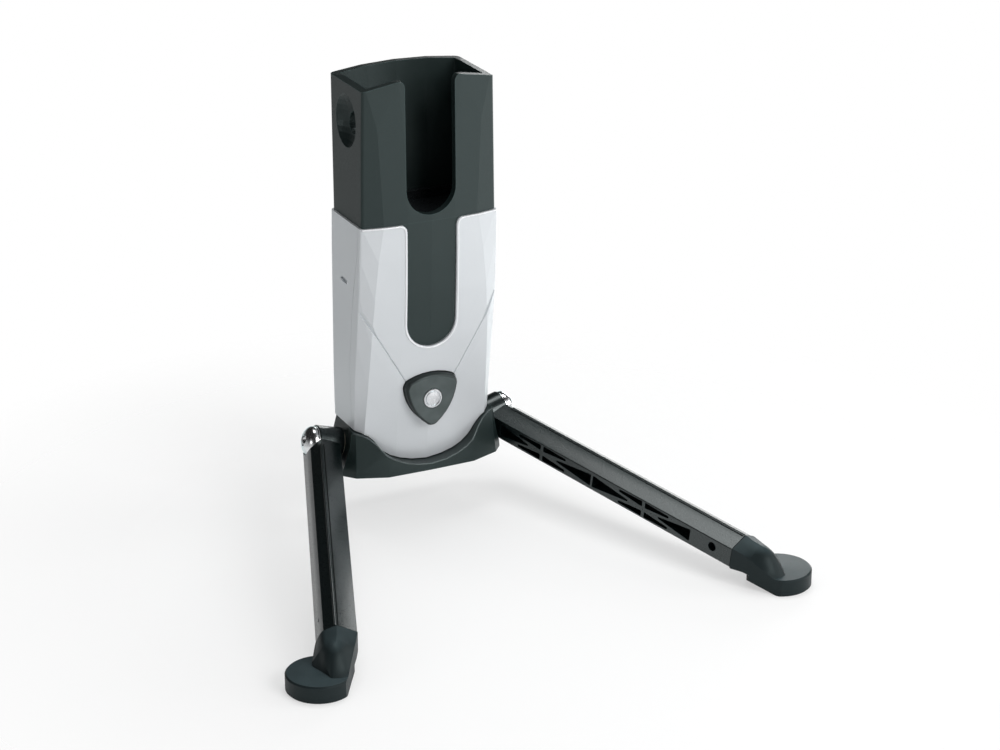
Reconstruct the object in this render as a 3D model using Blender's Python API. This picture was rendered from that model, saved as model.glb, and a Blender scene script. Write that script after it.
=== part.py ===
"""Portable bike stand: a pocket that takes a crank arm, on a yoke with two folding legs.

Metres, +Z up. The body faces -Y, +X is to its right, and the two feet stand on Z = 0. The pieces
are modelled about the middle of the body and then moved back so that the origin is on the floor,
below the middle of the whole stand. The legs are shown open.
"""

from math import acos, atan2, cos, degrees, pi, radians, sin, sqrt, tan

import bmesh
import bpy
import numpy as np
from mathutils import Matrix, Vector

MM = 0.001
GAP = 0.3 * MM
MIDDLE = 0.0
# How far a cutter runs past a face that it cuts through, and how far out to be clear of the stand.
PAST = 2.0 * MM
CLEAR = 60.0 * MM

# Heights above the floor.
YOKE_BOTTOM = 28.0 * MM
SEAM = 163.4 * MM
RIM = 232.3 * MM
RIM_ARCH_FRONT = 4.5 * MM
RIM_ARCH_BACK = 2.2 * MM

# Body sections at a few heights: half width, half width of the flat front, depth of the front at
# its middle, at the edge of the flat and at the corner, then of the back. Depths are along +Y.
CRADLE_SECTIONS = (
    (SEAM, 36.2 * MM, 25.2 * MM, -20.5 * MM, -19.3 * MM, -17.0 * MM, 19.8 * MM),
    (RIM - 41.5 * MM, 35.8 * MM, 25.7 * MM, -20.5 * MM, -19.4 * MM, -17.4 * MM, 20.9 * MM),
    (RIM - 19.5 * MM, 35.4 * MM, 27.8 * MM, -20.5 * MM, -19.3 * MM, -17.8 * MM, 21.8 * MM),
    (RIM, 35.0 * MM, 33.0 * MM, -20.5 * MM, -18.6 * MM, -18.2 * MM, 22.4 * MM),
)
SHELL_SECTIONS = (
    (30.0 * MM, 36.8 * MM, 33.6 * MM, -9.5 * MM, -5.9 * MM, -2.6 * MM, 22.9 * MM),
    (49.0 * MM, 37.3 * MM, 33.6 * MM, -12.0 * MM, -8.2 * MM, -3.8 * MM, 22.7 * MM),
    (60.0 * MM, 37.6 * MM, 33.4 * MM, -13.6 * MM, -10.0 * MM, -4.9 * MM, 22.4 * MM),
    (77.0 * MM, 37.8 * MM, 32.8 * MM, -16.0 * MM, -12.9 * MM, -7.0 * MM, 22.0 * MM),
    (100.0 * MM, 37.8 * MM, 32.0 * MM, -18.4 * MM, -16.2 * MM, -10.8 * MM, 21.5 * MM),
    (125.0 * MM, 37.7 * MM, 30.5 * MM, -20.0 * MM, -18.4 * MM, -14.5 * MM, 21.1 * MM),
    (145.0 * MM, 37.5 * MM, 28.5 * MM, -20.9 * MM, -19.5 * MM, -16.3 * MM, 20.8 * MM),
    (SEAM, 37.2 * MM, 25.5 * MM, -21.3 * MM, -20.0 * MM, -17.5 * MM, 20.4 * MM),
)
BACK_BULGE = 1.6 * MM
FRONT_CORNER = 1.4 * MM
BACK_CORNER = 2.4 * MM
CORNER_STEPS = 3

# Crank pocket.
POCKET_WALL = 4.0 * MM
POCKET_FLOOR = 160.0 * MM
SLOT_HALF_WIDTH = 13.3 * MM
SLOT_BOTTOM = 166.6 * MM
SLOT_LIP_RADIUS = 3.5 * MM
SLOT_CUT_END = -8.0 * MM
EYELET_HEIGHT = RIM - 20.5 * MM
EYELET_DEPTH_PLACE = 1.5 * MM
DISH_RISE = 1.8 * MM
DISH_HALF_HEIGHT = 13.4 * MM
DISH_HALF_DEPTH = 12.4 * MM
DISH_SINK = 5.4 * MM
EYELET_RADIUS = 5.6 * MM
EYELET_BOSS = 4.0 * MM
EYELET_BOSS_RADIUS = 11.6 * MM
PAD_THICKNESS = 3.0 * MM
PAD_UPSTAND = 7.5 * MM
PAD_UPSTAND_THICKNESS = 1.6 * MM

# How far one part of a moulding is sunk into the next before they are joined.
JOIN = 1.0 * MM

# Silver shells and what they hide.
SHELL_WALL = 2.2 * MM
SPINE_GAP = 0.4 * MM
SPINE_WALL = 3.0 * MM
SPINE_FLOOR_BELOW_BUTTON = 9.5 * MM
SPINE_FLOOR_THICKNESS = 4.0 * MM
SPINE_ROOF = 152.0 * MM
SPINE_WINDOW_HALF = 18.0 * MM
SPINE_WINDOW_LOW = 92.0 * MM
SPINE_WINDOW_HIGH = 146.0 * MM
TENON_HALF_WIDTH = 19.0 * MM
TENON_FRONT = -5.0 * MM
TENON_BACK = 16.0 * MM
TONGUE_HALF_WIDTH = 13.0 * MM
TONGUE_BOTTOM = 96.7 * MM
TONGUE_BACK = -12.0 * MM
TONGUE_GAP = 0.4 * MM
TONGUE_SINK = 0.9 * MM
U_LIP_RADIUS = 4.0 * MM
# Line where the two shells meet, seen from the side, as depth and height.
PARTING = (
    (-1.4 * MM, 0.0),
    (-1.6 * MM, 88.0 * MM),
    (-7.3 * MM, 124.0 * MM),
    (-13.6 * MM, 150.0 * MM),
    (-15.0 * MM, SEAM + PAST),
)
# Shallow grooves that run from the edges of the front shell down to the button, as (x, z).
GROOVE = ((37.2 * MM, 118.8 * MM), (33.7 * MM, 113.0 * MM), (13.0 * MM, 77.6 * MM))
GROOVE_STEPS = 5
GROOVE_HALF_WIDTH = 0.4 * MM
GROOVE_DEPTH = 0.5 * MM
# Shallow slot on each side of the rear shell, as depth and height.
SIDE_SLOT_PLACE = (4.1 * MM, 130.6 * MM)
SIDE_SLOT_LENGTH = 8.4 * MM
SIDE_SLOT_HEIGHT = 2.6 * MM
SIDE_SLOT_SINK = 1.4 * MM
SHELL_SCREW_OUT = 24.0 * MM
SHELL_SCREW_HEIGHTS = (70.0 * MM, 140.0 * MM)
SCREW_RADIUS = 1.4 * MM
SCREW_HEAD_RADIUS = 2.9 * MM
SCREW_HEAD_SINK = 1.3 * MM
SCREW_LENGTH = 9.0 * MM
SOCKET_RADIUS = 1.2 * MM

# Lower edge of the shells, seen from the front, as half width and height. The yoke follows it.
EDGE = (
    (0.0, 31.4 * MM),
    (8.0 * MM, 32.2 * MM),
    (14.5 * MM, 34.0 * MM),
    (20.0 * MM, 36.5 * MM),
    (24.0 * MM, 39.5 * MM),
    (26.2 * MM, 42.4 * MM),
    (28.4 * MM, 45.6 * MM),
    (31.4 * MM, 48.6 * MM),
    (34.6 * MM, 50.5 * MM),
    (38.0 * MM, 51.5 * MM),
)
EDGE_GAP = 0.5 * MM

# Plan of the yoke at its bottom and near its top: height, place of the front along Y, half width of
# the flat front, then the cheek and the front of the horn as half width and distance behind the
# front.
YOKE_PLANS = (
    (YOKE_BOTTOM, -17.2 * MM, 24.0 * MM, 39.3 * MM, 6.4 * MM, 44.4 * MM, 12.6 * MM),
    (54.0 * MM, -13.2 * MM, 24.0 * MM, 37.8 * MM, 5.6 * MM, 42.6 * MM, 9.4 * MM),
)
YOKE_FRONT_SOFT = 0.5 * MM
YOKE_BACK = 26.5 * MM
YOKE_BACK_CHAMFER = 3.5 * MM
HORN_BACK = 1.2 * MM
HORN_STEP = 1.2 * MM
HORN_INNER = 41.0 * MM
HORN_OUTER = 42.8 * MM
HORN_TOP = 52.4 * MM
HORN_SOFT = 1.2 * MM
HORN_SHOULDER_OUT = 44.6 * MM
HORN_SHOULDER = 46.5 * MM
# Notch in the outer top of each horn, as depth and height: it falls from the front lip to the back.
NOTCH_IN = 39.2 * MM
NOTCH_TOP = (-9.5 * MM, 53.5 * MM)
NOTCH_LOW = (HORN_BACK + HORN_STEP, 44.3 * MM)
BASE_SCREW_OUT = 10.0 * MM
BASE_SCREW_PLACE = 5.0 * MM
BASE_SCREW_LENGTH = 12.0 * MM

# Legs. The line of the leg runs from the hinge to the joint with the foot.
HINGE_OUT = 49.4 * MM
HINGE_BACK = 11.0 * MM
HINGE_HEIGHT = 41.8 * MM
HINGE = Vector((HINGE_OUT, HINGE_BACK, HINGE_HEIGHT))
LEG_END_OUT = 107.2 * MM
LEG_END_FRONT = -144.9 * MM
LEG_END_HEIGHT = 17.9 * MM
LEG_END = Vector((LEG_END_OUT, LEG_END_FRONT, LEG_END_HEIGHT))
PIN_RISE = radians(15.3)
LEG_HALF_WIDTH = 9.4 * MM
LEG_UNDER = 8.9 * MM
LEG_RIDGE = 6.1 * MM
LEG_RIDGE_PLACE = -0.2 * MM
LEG_INNER_EAVE = 1.9 * MM
LEG_OUTER_EAVE = 2.7 * MM
LEG_OUTER_FLARE = 2.0 * MM
LEG_OUTER_ROUND = 1.3 * MM
LEG_UNDER_ROUND = 1.5 * MM
LEG_UNDER_SOFT = 0.8 * MM
LEG_CROWN = 1.12
ROOF_SHARES = (0.8, 0.6, 0.4, 0.2)
LEG_OVERRUN = 2.6 * MM
LATTICE_DEPTH = 6.5 * MM
# Pockets in the inner side of a leg, in two cells: where each starts, its node and its end. Six
# pockets meet at a node, and heights are given at the node and at the ends of the cell.
LATTICE_CELLS = ((13.5 * MM, 43.0 * MM, 77.4 * MM), (78.6 * MM, 113.0 * MM, 144.0 * MM))
LATTICE_MIDDLE = -3.4 * MM
LATTICE_NODE_HALF = 4.3 * MM
LATTICE_END_HALF = 3.3 * MM
LATTICE_POST_HALF = 0.9 * MM
LATTICE_TIP = 6.6 * MM
LATTICE_SIDE_REACH = 16.5 * MM
LATTICE_SIDE_END = 1.3 * MM
LATTICE_SIDE_FOOT = 1.1 * MM
LATTICE_CORNER = 0.5 * MM
LATTICE_CORNER_STEPS = 2
PLUG_HOLE_PLACE = 158.3 * MM
PLUG_HOLE_HEIGHT = -2.8 * MM
PLUG_HOLE_RADIUS = 2.4 * MM
CATCH_NOTCH_RADIUS = 1.7 * MM
CATCH_NOTCH_HEIGHT = 1.9 * MM
CATCH_NOTCH_DEPTH = 2.0 * MM
PLUG_LENGTH = 20.0 * MM
PLUG_HALF_WIDTH = 5.6 * MM
PLUG_LOW = -7.0 * MM
PLUG_HIGH = 1.2 * MM

# Hinges, measured along the pin from the middle of the hub, outward.
HUB_RADIUS = 8.6 * MM
HUB_IN = -9.3 * MM
HUB_OUT = 3.6 * MM
PIN_RADIUS = 3.0 * MM
BUSH_WALL = 1.2 * MM
RUNNING_GAP = 0.1 * MM
THRUST_WASHER = 0.7 * MM
THRUST_WASHER_RADIUS = 7.2 * MM
SWEEP_GAP = 0.7 * MM
SWEEP_STATIONS = (3.0 * MM, 8.0 * MM, 14.0 * MM, 22.0 * MM, 40.0 * MM)
CHROME_RING = 0.8 * MM
CHROME_RING_RADIUS = 8.1 * MM
HEAD_ROOM = 0.7 * MM
HEAD_RADIUS = 7.7 * MM
HEAD_HEIGHT = 5.2 * MM
HEAD_RECESS_RADIUS = 2.9 * MM
HEAD_RECESS_DEPTH = 3.2 * MM
NUT_OUT = -17.0 * MM
NUT_THICKNESS = 5.0 * MM
NUT_ACROSS = 10.0 * MM
PIN_TAIL = NUT_OUT - NUT_THICKNESS - 1.5 * MM

# Feet.
DISC_OUT = LEG_END_OUT + 14.3 * MM
DISC_FRONT = LEG_END_FRONT - 14.2 * MM
DISC_RADIUS = 15.9 * MM
DISC_THICKNESS = 8.6 * MM
SOLE_SOFT = 0.7 * MM
DISC_SOFT = 0.7 * MM
DISC_CROWN = 0.4 * MM
SLEEVE_PROUD = 0.4 * MM

# Sleeve of the foot, past the end of the leg. Each row is a level reach, then the sideways place of
# the inner side with the height of its eave, the place and height of the ridge, the place of the
# outer side with the height of its eave and its flare, and the crown of the roof.
SLEEVE = np.array(
    (
        (8.5, -8.8, 18.2, 0.0, 22.3, 8.2, 18.2, 2.8, 1.25),
        (12.4, -7.7, 16.2, 0.4, 21.3, 8.5, 16.3, 3.2, 1.55),
        (15.0, -7.0, 14.6, 0.8, 20.4, 8.3, 14.5, 2.7, 1.8),
        (18.0, -6.1, 12.8, 1.3, 18.6, 7.7, 12.6, 1.7, 2.0),
        (21.0, -5.3, 10.9, 1.9, 15.4, 6.6, 10.8, 0.8, 2.0),
        (24.0, -4.5, 9.2, 2.4, 11.2, 5.0, 9.2, 0.3, 2.0),
        (27.0, -3.7, 7.6, 2.6, 7.9, 3.4, 7.6, 0.0, 2.0),
    )
)
SLEEVE[:, :-1] *= MM
# The underside of the sleeve: a level reach, then the heights of its inner and outer edges.
SLEEVE_UNDER = np.array(
    ((8.5, 8.2, 5.5), (12.4, 7.0, 4.0), (12.7, 0.3, 3.0), (27.0, 0.3, 3.0))
) * MM
SLEEVE_STEP = 1.6 * MM
INNER_SIDE = ((4.5 * MM, -9.8 * MM), (26.4 * MM, -3.9 * MM))
RELIEF_LINE = ((7.0 * MM, -0.5 * MM), (26.3 * MM, -3.9 * MM))
RELIEF_SLOPE = 0.72
RELIEF_END = 28.0 * MM

# Release button, measured along its travel from the face of the front shell, inward.
BUTTON_HEIGHT = 67.5 * MM
BUTTON_TILT = radians(8.0)
SPINE_FLOOR_TOP = BUTTON_HEIGHT - SPINE_FLOOR_BELOW_BUTTON
SPINE_FLOOR_LOW = SPINE_FLOOR_TOP - SPINE_FLOOR_THICKNESS
BUTTON_HALF_WIDTH = 14.6 * MM
BUTTON_SHOULDER = 10.0 * MM
BUTTON_CROWN = 14.2 * MM
BUTTON_TIP = -15.0 * MM
BUTTON_SIDE_BOW = 3.6 * MM
BUTTON_SIDE_STEPS = 6
BUTTON_CORNER = 2.6 * MM
BUTTON_PROUD = 4.4 * MM
BUTTON_GAP = 0.5 * MM
BUTTON_ROOM = 1.0 * MM
BUTTON_HOLE_END = 9.0 * MM
BUTTON_FACE_CURVE = 0.9 * MM
# How much less far back the face lies, for each measure down from its middle.
BUTTON_LEAN = 0.14
BUTTON_FLANGE = 1.3 * MM
BUTTON_FLANGE_THICKNESS = 1.4 * MM
BUTTON_SHOULDER_ROUND = 2.0 * MM
BUTTON_SHOULDER_STEPS = 4
BUTTON_TRAVEL = 2.5 * MM
BADGE_RADIUS = 5.0 * MM
BADGE_UP = 1.2 * MM
BADGE_SINK = 1.1 * MM
BADGE_PROUD = 0.3 * MM
BADGE_RING = 3.9 * MM
BADGE_GROOVE = 0.3 * MM
BADGE_CROWN = 0.2 * MM
STEM_RADIUS = 3.0 * MM
STEM_TIP_RADIUS = 2.0 * MM
STEM_TAIL = 1.0 * MM
GUIDE_PLACE = 12.6 * MM
GUIDE_THICKNESS = 2.0 * MM
GUIDE_HALF_HEIGHT = 12.0 * MM
LOCK_THICKNESS = 2.0 * MM
LOCK_HALF_WIDTH = 27.0 * MM
LOCK_HALF_HEIGHT = 6.0 * MM
SPRING_RADIUS = 4.4 * MM
SPRING_WIRE = 0.45 * MM
SPRING_CURLS = 4
SPRING_POINTS = 10

# Pieces whose cuts only the manifold solver closes.
MANIFOLD_PIECES = ("cradle", "rear_shell", "right_leg", "left_leg")

MATERIALS = {
    "black_plastic": ((0.022, 0.025, 0.027), 0.42, 0.0),
    "silver_plastic": ((0.56, 0.57, 0.60), 0.30, 0.55),
    "black_leg": ((0.030, 0.034, 0.036), 0.34, 0.1),
    "soft_rubber": ((0.030, 0.032, 0.035), 0.62, 0.0),
    "chrome": ((0.80, 0.81, 0.82), 0.10, 1.0),
    "steel": ((0.45, 0.45, 0.46), 0.32, 1.0),
    "bearing_plastic": ((0.55, 0.53, 0.48), 0.5, 0.0),
    "dark_badge": ((0.10, 0.105, 0.11), 0.30, 0.5),
}


def clear_scene():
    for obj in list(bpy.data.objects):
        bpy.data.objects.remove(obj, do_unlink=True)


def material(name):
    found = bpy.data.materials.get(name)
    if found:
        return found
    colour, roughness, metallic = MATERIALS[name]
    made = bpy.data.materials.new(name)
    made.use_nodes = True
    shader = made.node_tree.nodes["Principled BSDF"]
    shader.inputs["Base Color"].default_value = (*colour, 1.0)
    shader.inputs["Roughness"].default_value = roughness
    shader.inputs["Metallic"].default_value = metallic
    return made


def object_from(name, bm, surface=None):
    """A new object that holds this bmesh, with its faces turned outward."""
    bmesh.ops.recalc_face_normals(bm, faces=bm.faces)
    bmesh.ops.triangulate(bm, faces=bm.faces)
    mesh = bpy.data.meshes.new(name)
    bm.to_mesh(mesh)
    bm.free()
    mesh.shade_smooth()
    mesh.set_sharp_from_angle(angle=radians(35))
    obj = bpy.data.objects.new(name, mesh)
    bpy.context.collection.objects.link(obj)
    if surface:
        mesh.materials.append(material(surface))
    return obj


def loft(name, rings, surface=None):
    """A closed skin through rings that hold the same number of points."""
    bm = bmesh.new()
    rows = [[bm.verts.new(point) for point in ring] for ring in rings]
    count = len(rows[0])
    for low, high in zip(rows, rows[1:]):
        for i in range(count):
            j = (i + 1) % count
            bm.faces.new((low[i], low[j], high[j], high[i]))
    bm.faces.new(rows[0][::-1])
    bm.faces.new(rows[-1])
    return object_from(name, bm, surface)


def prism(name, outline, low, high, surface=None):
    """An outline given as (x, z), extruded along Y from low to high."""
    rings = [[Vector((x, y, z)) for x, z in outline] for y in (low, high)]
    return loft(name, rings, surface)


def block(name, low, high, surface=None):
    """A box between two corners."""
    outline = ((low[0], low[2]), (high[0], low[2]), (high[0], high[2]), (low[0], high[2]))
    return prism(name, outline, low[1], high[1], surface)


def turned(name, profile, origin, axis, segments=32, surface=None):
    """A solid of revolution: the profile is (radius, distance along the axis), and may be bored."""
    frame = axis_frame(origin, axis)
    bm = bmesh.new()
    bored = min(radius for radius, _ in profile) > 0
    rows = []
    for k in range(segments):
        angle = 2 * pi * k / segments
        row = []
        for radius, along in profile:
            if radius == 0 and k:
                row.append(rows[0][len(row)])
                continue
            local = Vector((radius * cos(angle), radius * sin(angle), along))
            row.append(bm.verts.new(frame @ local))
        rows.append(row)
    last = len(profile) if bored else len(profile) - 1
    for k in range(segments):
        here, there = rows[k], rows[(k + 1) % segments]
        for i in range(last):
            j = (i + 1) % len(profile)
            corners = (here[i], here[j], there[j], there[i])
            bm.faces.new(list(dict.fromkeys(corners)))
    return object_from(name, bm, surface)


def axis_frame(origin, axis):
    """A frame at origin whose local Z lies along the axis."""
    rotation = Vector((0, 0, 1)).rotation_difference(Vector(axis)).to_matrix().to_4x4()
    return Matrix.Translation(Vector(origin)) @ rotation


def rod(name, radius, low, high, origin, axis, segments=32, surface=None):
    profile = ((0, low), (radius, low), (radius, high), (0, high))
    return turned(name, profile, origin, axis, segments, surface)


def combine(target, other, operation):
    modifier = target.modifiers.new(operation.title(), "BOOLEAN")
    modifier.operation = operation
    modifier.solver = "MANIFOLD" if target.name.startswith(MANIFOLD_PIECES) else "EXACT"
    modifier.object = other
    other.hide_render = True
    other.display_type = "WIRE"


def cut(target, other):
    combine(target, other, "DIFFERENCE")


def join(target, other):
    combine(target, other, "UNION")


def trim(target, other):
    combine(target, other, "INTERSECT")


def bake(target):
    """Applies the target's modifiers and removes their cutters."""
    others = [m.object for m in target.modifiers if m.type == "BOOLEAN"]
    graph = bpy.context.evaluated_depsgraph_get()
    mesh = bpy.data.meshes.new_from_object(target.evaluated_get(graph), depsgraph=graph)
    target.modifiers.clear()
    target.data = mesh
    mesh.shade_smooth()
    mesh.set_sharp_from_angle(angle=radians(35))
    for other in others:
        if other.name in bpy.data.objects:
            bpy.data.objects.remove(other, do_unlink=True)
    return target


def fillet(before, corner, after, radius, steps):
    """Points on an arc that rounds the corner between two lines."""
    first = (before - corner).normalized()
    second = (after - corner).normalized()
    half = first.angle(second) / 2
    middle = corner + (first + second).normalized() * radius / sin(half)
    start = corner + first * radius / tan(half) - middle
    end = corner + second * radius / tan(half) - middle
    shares = [k / steps for k in range(steps + 1)]
    return [middle + start.lerp(end, share).normalized() * radius for share in shares]


def section(sections, height, inset=0.0):
    """One ring of the body at a height, set in by inset, anticlockwise from the front middle."""
    heights = [row[0] for row in sections]
    columns = zip(*[row[1:] for row in sections])
    width, flat, front, edge, corner, back = (np.interp(height, heights, c) for c in columns)
    width -= inset
    flat -= 0.35 * inset
    front += inset
    edge += inset
    corner += inset
    back -= inset
    small = max(FRONT_CORNER - 0.5 * inset, 0.6 * MM)
    large = max(BACK_CORNER - 0.5 * inset, 0.8 * MM)
    facet = Vector((flat, edge))
    front_corner = Vector((width, corner))
    back_corner = Vector((width, back))
    centre = Vector((MIDDLE, back))
    half = [
        Vector((flat * 0.5, front + 0.25 * (edge - front))),
        facet,
        *fillet(facet, front_corner, back_corner, small, CORNER_STEPS),
        *fillet(front_corner, back_corner, centre, large, CORNER_STEPS),
        Vector((width * 0.5, back + 0.75 * BACK_BULGE)),
    ]
    right = [(p.x, p.y) for p in half]
    left = [(-x, y) for x, y in reversed(right)]
    plan = [(MIDDLE, front), *right, (MIDDLE, back + BACK_BULGE), *left]
    return [Vector((x, y, height)) for x, y in plan]


def body_loft(name, sections, low, high, inset=0.0, surface=None):
    heights = [low, *[row[0] for row in sections if low < row[0] < high], high]
    return loft(name, [section(sections, z, inset) for z in heights], surface)


def arched(ring, base, extra=0.0):
    """Lifts a level ring onto the arched rim."""
    lifted = []
    for point in ring:
        across = min(abs(point.x) / CRADLE_SECTIONS[-1][1], 1.0)
        share = np.interp(point.y, (CRADLE_SECTIONS[-1][3], CRADLE_SECTIONS[-1][6]), (0, 1))
        arch = RIM_ARCH_FRONT + (RIM_ARCH_BACK - RIM_ARCH_FRONT) * share
        lifted.append(Vector((point.x, point.y, base + arch * (1 - across**2) + extra)))
    return lifted


def arc(centre, radius, start, end, steps):
    """Points (x, z) along an arc, with angles in degrees."""
    angles = [radians(start + (end - start) * k / steps) for k in range(steps + 1)]
    return [(centre[0] + radius * cos(a), centre[1] + radius * sin(a)) for a in angles]


def u_outline(half_width, bottom, top, lip_radius, lip_height):
    """A U seen from the front, open upward, with its upper corners rounded outward."""
    centre = bottom + half_width
    rounded = arc((half_width + lip_radius, lip_height - lip_radius), lip_radius, 180, 90, 4)
    left_round = [(-x, z) for x, z in reversed(rounded)]
    return [
        *arc((MIDDLE, centre), half_width, 180, 360, 20),
        *rounded,
        (half_width + lip_radius, top),
        (-half_width - lip_radius, top),
        *left_round,
    ]


def edge_outline(lift, far):
    """The lower edge curve as a closed outline that runs down to far, lifted by lift."""
    right = [(x, z + lift) for x, z in EDGE]
    left = [(-x, z) for x, z in reversed(right[1:])]
    reach = CLEAR
    last = right[-1][1]
    return [(-reach, far), (-reach, last), *left, *right, (reach, last), (reach, far)]


def along_x(name, outline, low, high):
    """An outline given as (y, z), extruded along X from low to high."""
    return loft(name, [[Vector((x, y, z)) for y, z in outline] for x in (low, high)])


def parting_block(name, toward_back, gap):
    """All that lies in front of, or behind, the line where the two shells meet."""
    far = CLEAR if toward_back else -CLEAR
    shift = gap if toward_back else -gap
    line = [(y + shift, z) for y, z in PARTING]
    outline = [*line, (far, line[-1][1]), (far, line[0][1])]
    return along_x(name, outline, -CLEAR, CLEAR)


def button_frame():
    """Local Z runs inward along the button's travel, and local Y runs up the face."""
    front = np.interp(BUTTON_HEIGHT, [r[0] for r in SHELL_SECTIONS], [r[3] for r in SHELL_SECTIONS])
    inward = Vector((0, cos(BUTTON_TILT), sin(BUTTON_TILT)))
    up = Vector((0, -sin(BUTTON_TILT), cos(BUTTON_TILT)))
    across = up.cross(inward)
    frame = Matrix((across, up, inward)).transposed().to_4x4()
    return Matrix.Translation(Vector((0, front, BUTTON_HEIGHT))) @ frame


def shield(grow=0.0):
    """The button's outline: a triangle with bowed sides, its tip down, as (across, up)."""
    corners = (
        Vector((0, BUTTON_TIP)),
        Vector((BUTTON_HALF_WIDTH, BUTTON_SHOULDER)),
        Vector((-BUTTON_HALF_WIDTH, BUTTON_SHOULDER)),
    )
    bows = (BUTTON_SIDE_BOW, BUTTON_CROWN - BUTTON_SHOULDER, BUTTON_SIDE_BOW)
    sides = []
    for k in range(3):
        start = corners[k]
        end = corners[(k + 1) % 3]
        out = Vector((end.y - start.y, start.x - end.x)).normalized()
        trimmed = BUTTON_CORNER / (end - start).length
        steps = BUTTON_SIDE_STEPS
        shares = [trimmed + (1 - 2 * trimmed) * i / steps for i in range(steps + 1)]
        sides.append([start.lerp(end, s) + out * bows[k] * 4 * s * (1 - s) for s in shares])
    points = []
    for k in range(3):
        end = sides[k][-1]
        start = sides[(k + 1) % 3][0]
        turn = corners[(k + 1) % 3] * 0.75 + (end + start) * 0.125
        points += sides[k]
        points += [end.lerp(turn, s).lerp(turn.lerp(start, s), s) for s in (0.33, 0.67)]
    grown = []
    for k in range(len(points)):
        along = points[(k + 1) % len(points)] - points[k - 1]
        grown.append(points[k] + Vector((along.y, -along.x)).normalized() * grow)
    return grown


def shield_loft(name, stations, surface=None):
    """The button's outline, carried through stations.

    Each station is a growth, a distance along the button's travel and a lean, which moves the
    station further along at its top and less far at its tip.
    """
    frame = button_frame()
    rings = []
    for grow, along, lean in stations:
        rings.append([frame @ Vector((p.x, p.y, along + lean * p.y)) for p in shield(grow)])
    return loft(name, rings, surface)


def hinge_axis():
    """The pin's direction, outward, on the right-hand side.

    A leg that turns about it can stand upright: its angle with the leg equals its angle with +Z.
    """
    leg = (LEG_END - HINGE).normalized()
    level = sqrt(leg.x**2 + leg.y**2)
    turn = atan2(leg.y, leg.x) + acos(tan(PIN_RISE) * (1 - leg.z) / level)
    return Vector((cos(PIN_RISE) * cos(turn), cos(PIN_RISE) * sin(turn), sin(PIN_RISE)))


def leg_frame():
    """Local X runs along the leg, local Y outward and local Z up to the ridge, from the hinge."""
    along = (LEG_END - HINGE).normalized()
    outward = Vector((-along.y, along.x, 0)).normalized()
    up = along.cross(outward)
    frame = Matrix((along, outward, up)).transposed().to_4x4()
    return Matrix.Translation(HINGE) @ frame


def leg_length():
    return (LEG_END - HINGE).length + LEG_OVERRUN


def fold_angle():
    """How far a leg turns from open to upright."""
    axis = hinge_axis()
    leg = (LEG_END - HINGE).normalized()
    first = leg - axis * leg.dot(axis)
    second = Vector((0, 0, 1)) - axis * axis.z
    return first.angle(second)


def roofed(inner, outer, ridge, crown):
    """A roofed section as (outward, up).

    The inner side is given as its place, eave and foot, the outer one with a flare as well, and
    the ridge as its place and height. A crown of 1 gives straight slopes, and of 2 a parabola.
    """
    side, eave, low = inner
    far, far_eave, far_low, flare = outer
    place, top = ridge
    soft = min(LEG_OUTER_ROUND, 0.3 * (far_eave - far_low))
    points = [
        (side + LEG_UNDER_SOFT, low),
        (far + flare - LEG_UNDER_ROUND, far_low),
        (far + flare, far_low + LEG_UNDER_ROUND),
        (far + flare, 0.5 * (far_low + far_eave)),
        (far + 0.2 * flare, far_eave - 1.7 * soft),
        (far - 0.35 * soft, far_eave - 0.55 * soft),
    ]
    for share in ROOF_SHARES:
        rise = 1 - share**crown
        points.append((place + (far - place) * share, far_eave + (top - far_eave) * rise))
    points.append((place, top))
    for share in (*ROOF_SHARES[::-1], 1.0):
        rise = 1 - share**crown
        points.append((place + (side - place) * share, eave + (top - eave) * rise))
    points.append((side, low + LEG_UNDER_SOFT))
    return points


def leg_section(grow=0.0):
    """The leg's roofed section as (outward, up)."""
    half = LEG_HALF_WIDTH + grow
    low = -LEG_UNDER - grow
    inner = (-half, LEG_INNER_EAVE + grow, low)
    outer = (half - LEG_OUTER_FLARE, LEG_OUTER_EAVE + grow, low, LEG_OUTER_FLARE)
    return roofed(inner, outer, (LEG_RIDGE_PLACE, LEG_RIDGE + grow), LEG_CROWN)


def mirror_to_left(obj):
    """Turns a right-hand piece into its left-hand twin."""
    bm = bmesh.new()
    bm.from_mesh(obj.data)
    bmesh.ops.scale(bm, vec=(-1, 1, 1), verts=bm.verts)
    bmesh.ops.reverse_faces(bm, faces=bm.faces)
    bm.to_mesh(obj.data)
    bm.free()


def both_sides(name, build, carrier):
    """Builds the right-hand piece and its mirror image, each about its own hinge."""
    made = []
    for side, sign in (("right", 1), ("left", -1)):
        piece = bake(build(f"{side}_{name}"))
        if sign < 0:
            mirror_to_left(piece)
        place = Vector((sign * HINGE.x, HINGE.y, HINGE.z))
        piece.data.transform(Matrix.Translation(-place))
        parent = carrier[side] if isinstance(carrier, dict) else carrier
        piece.parent = parent
        piece.location = place - parent.location
        made.append(piece)
    return made


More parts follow.
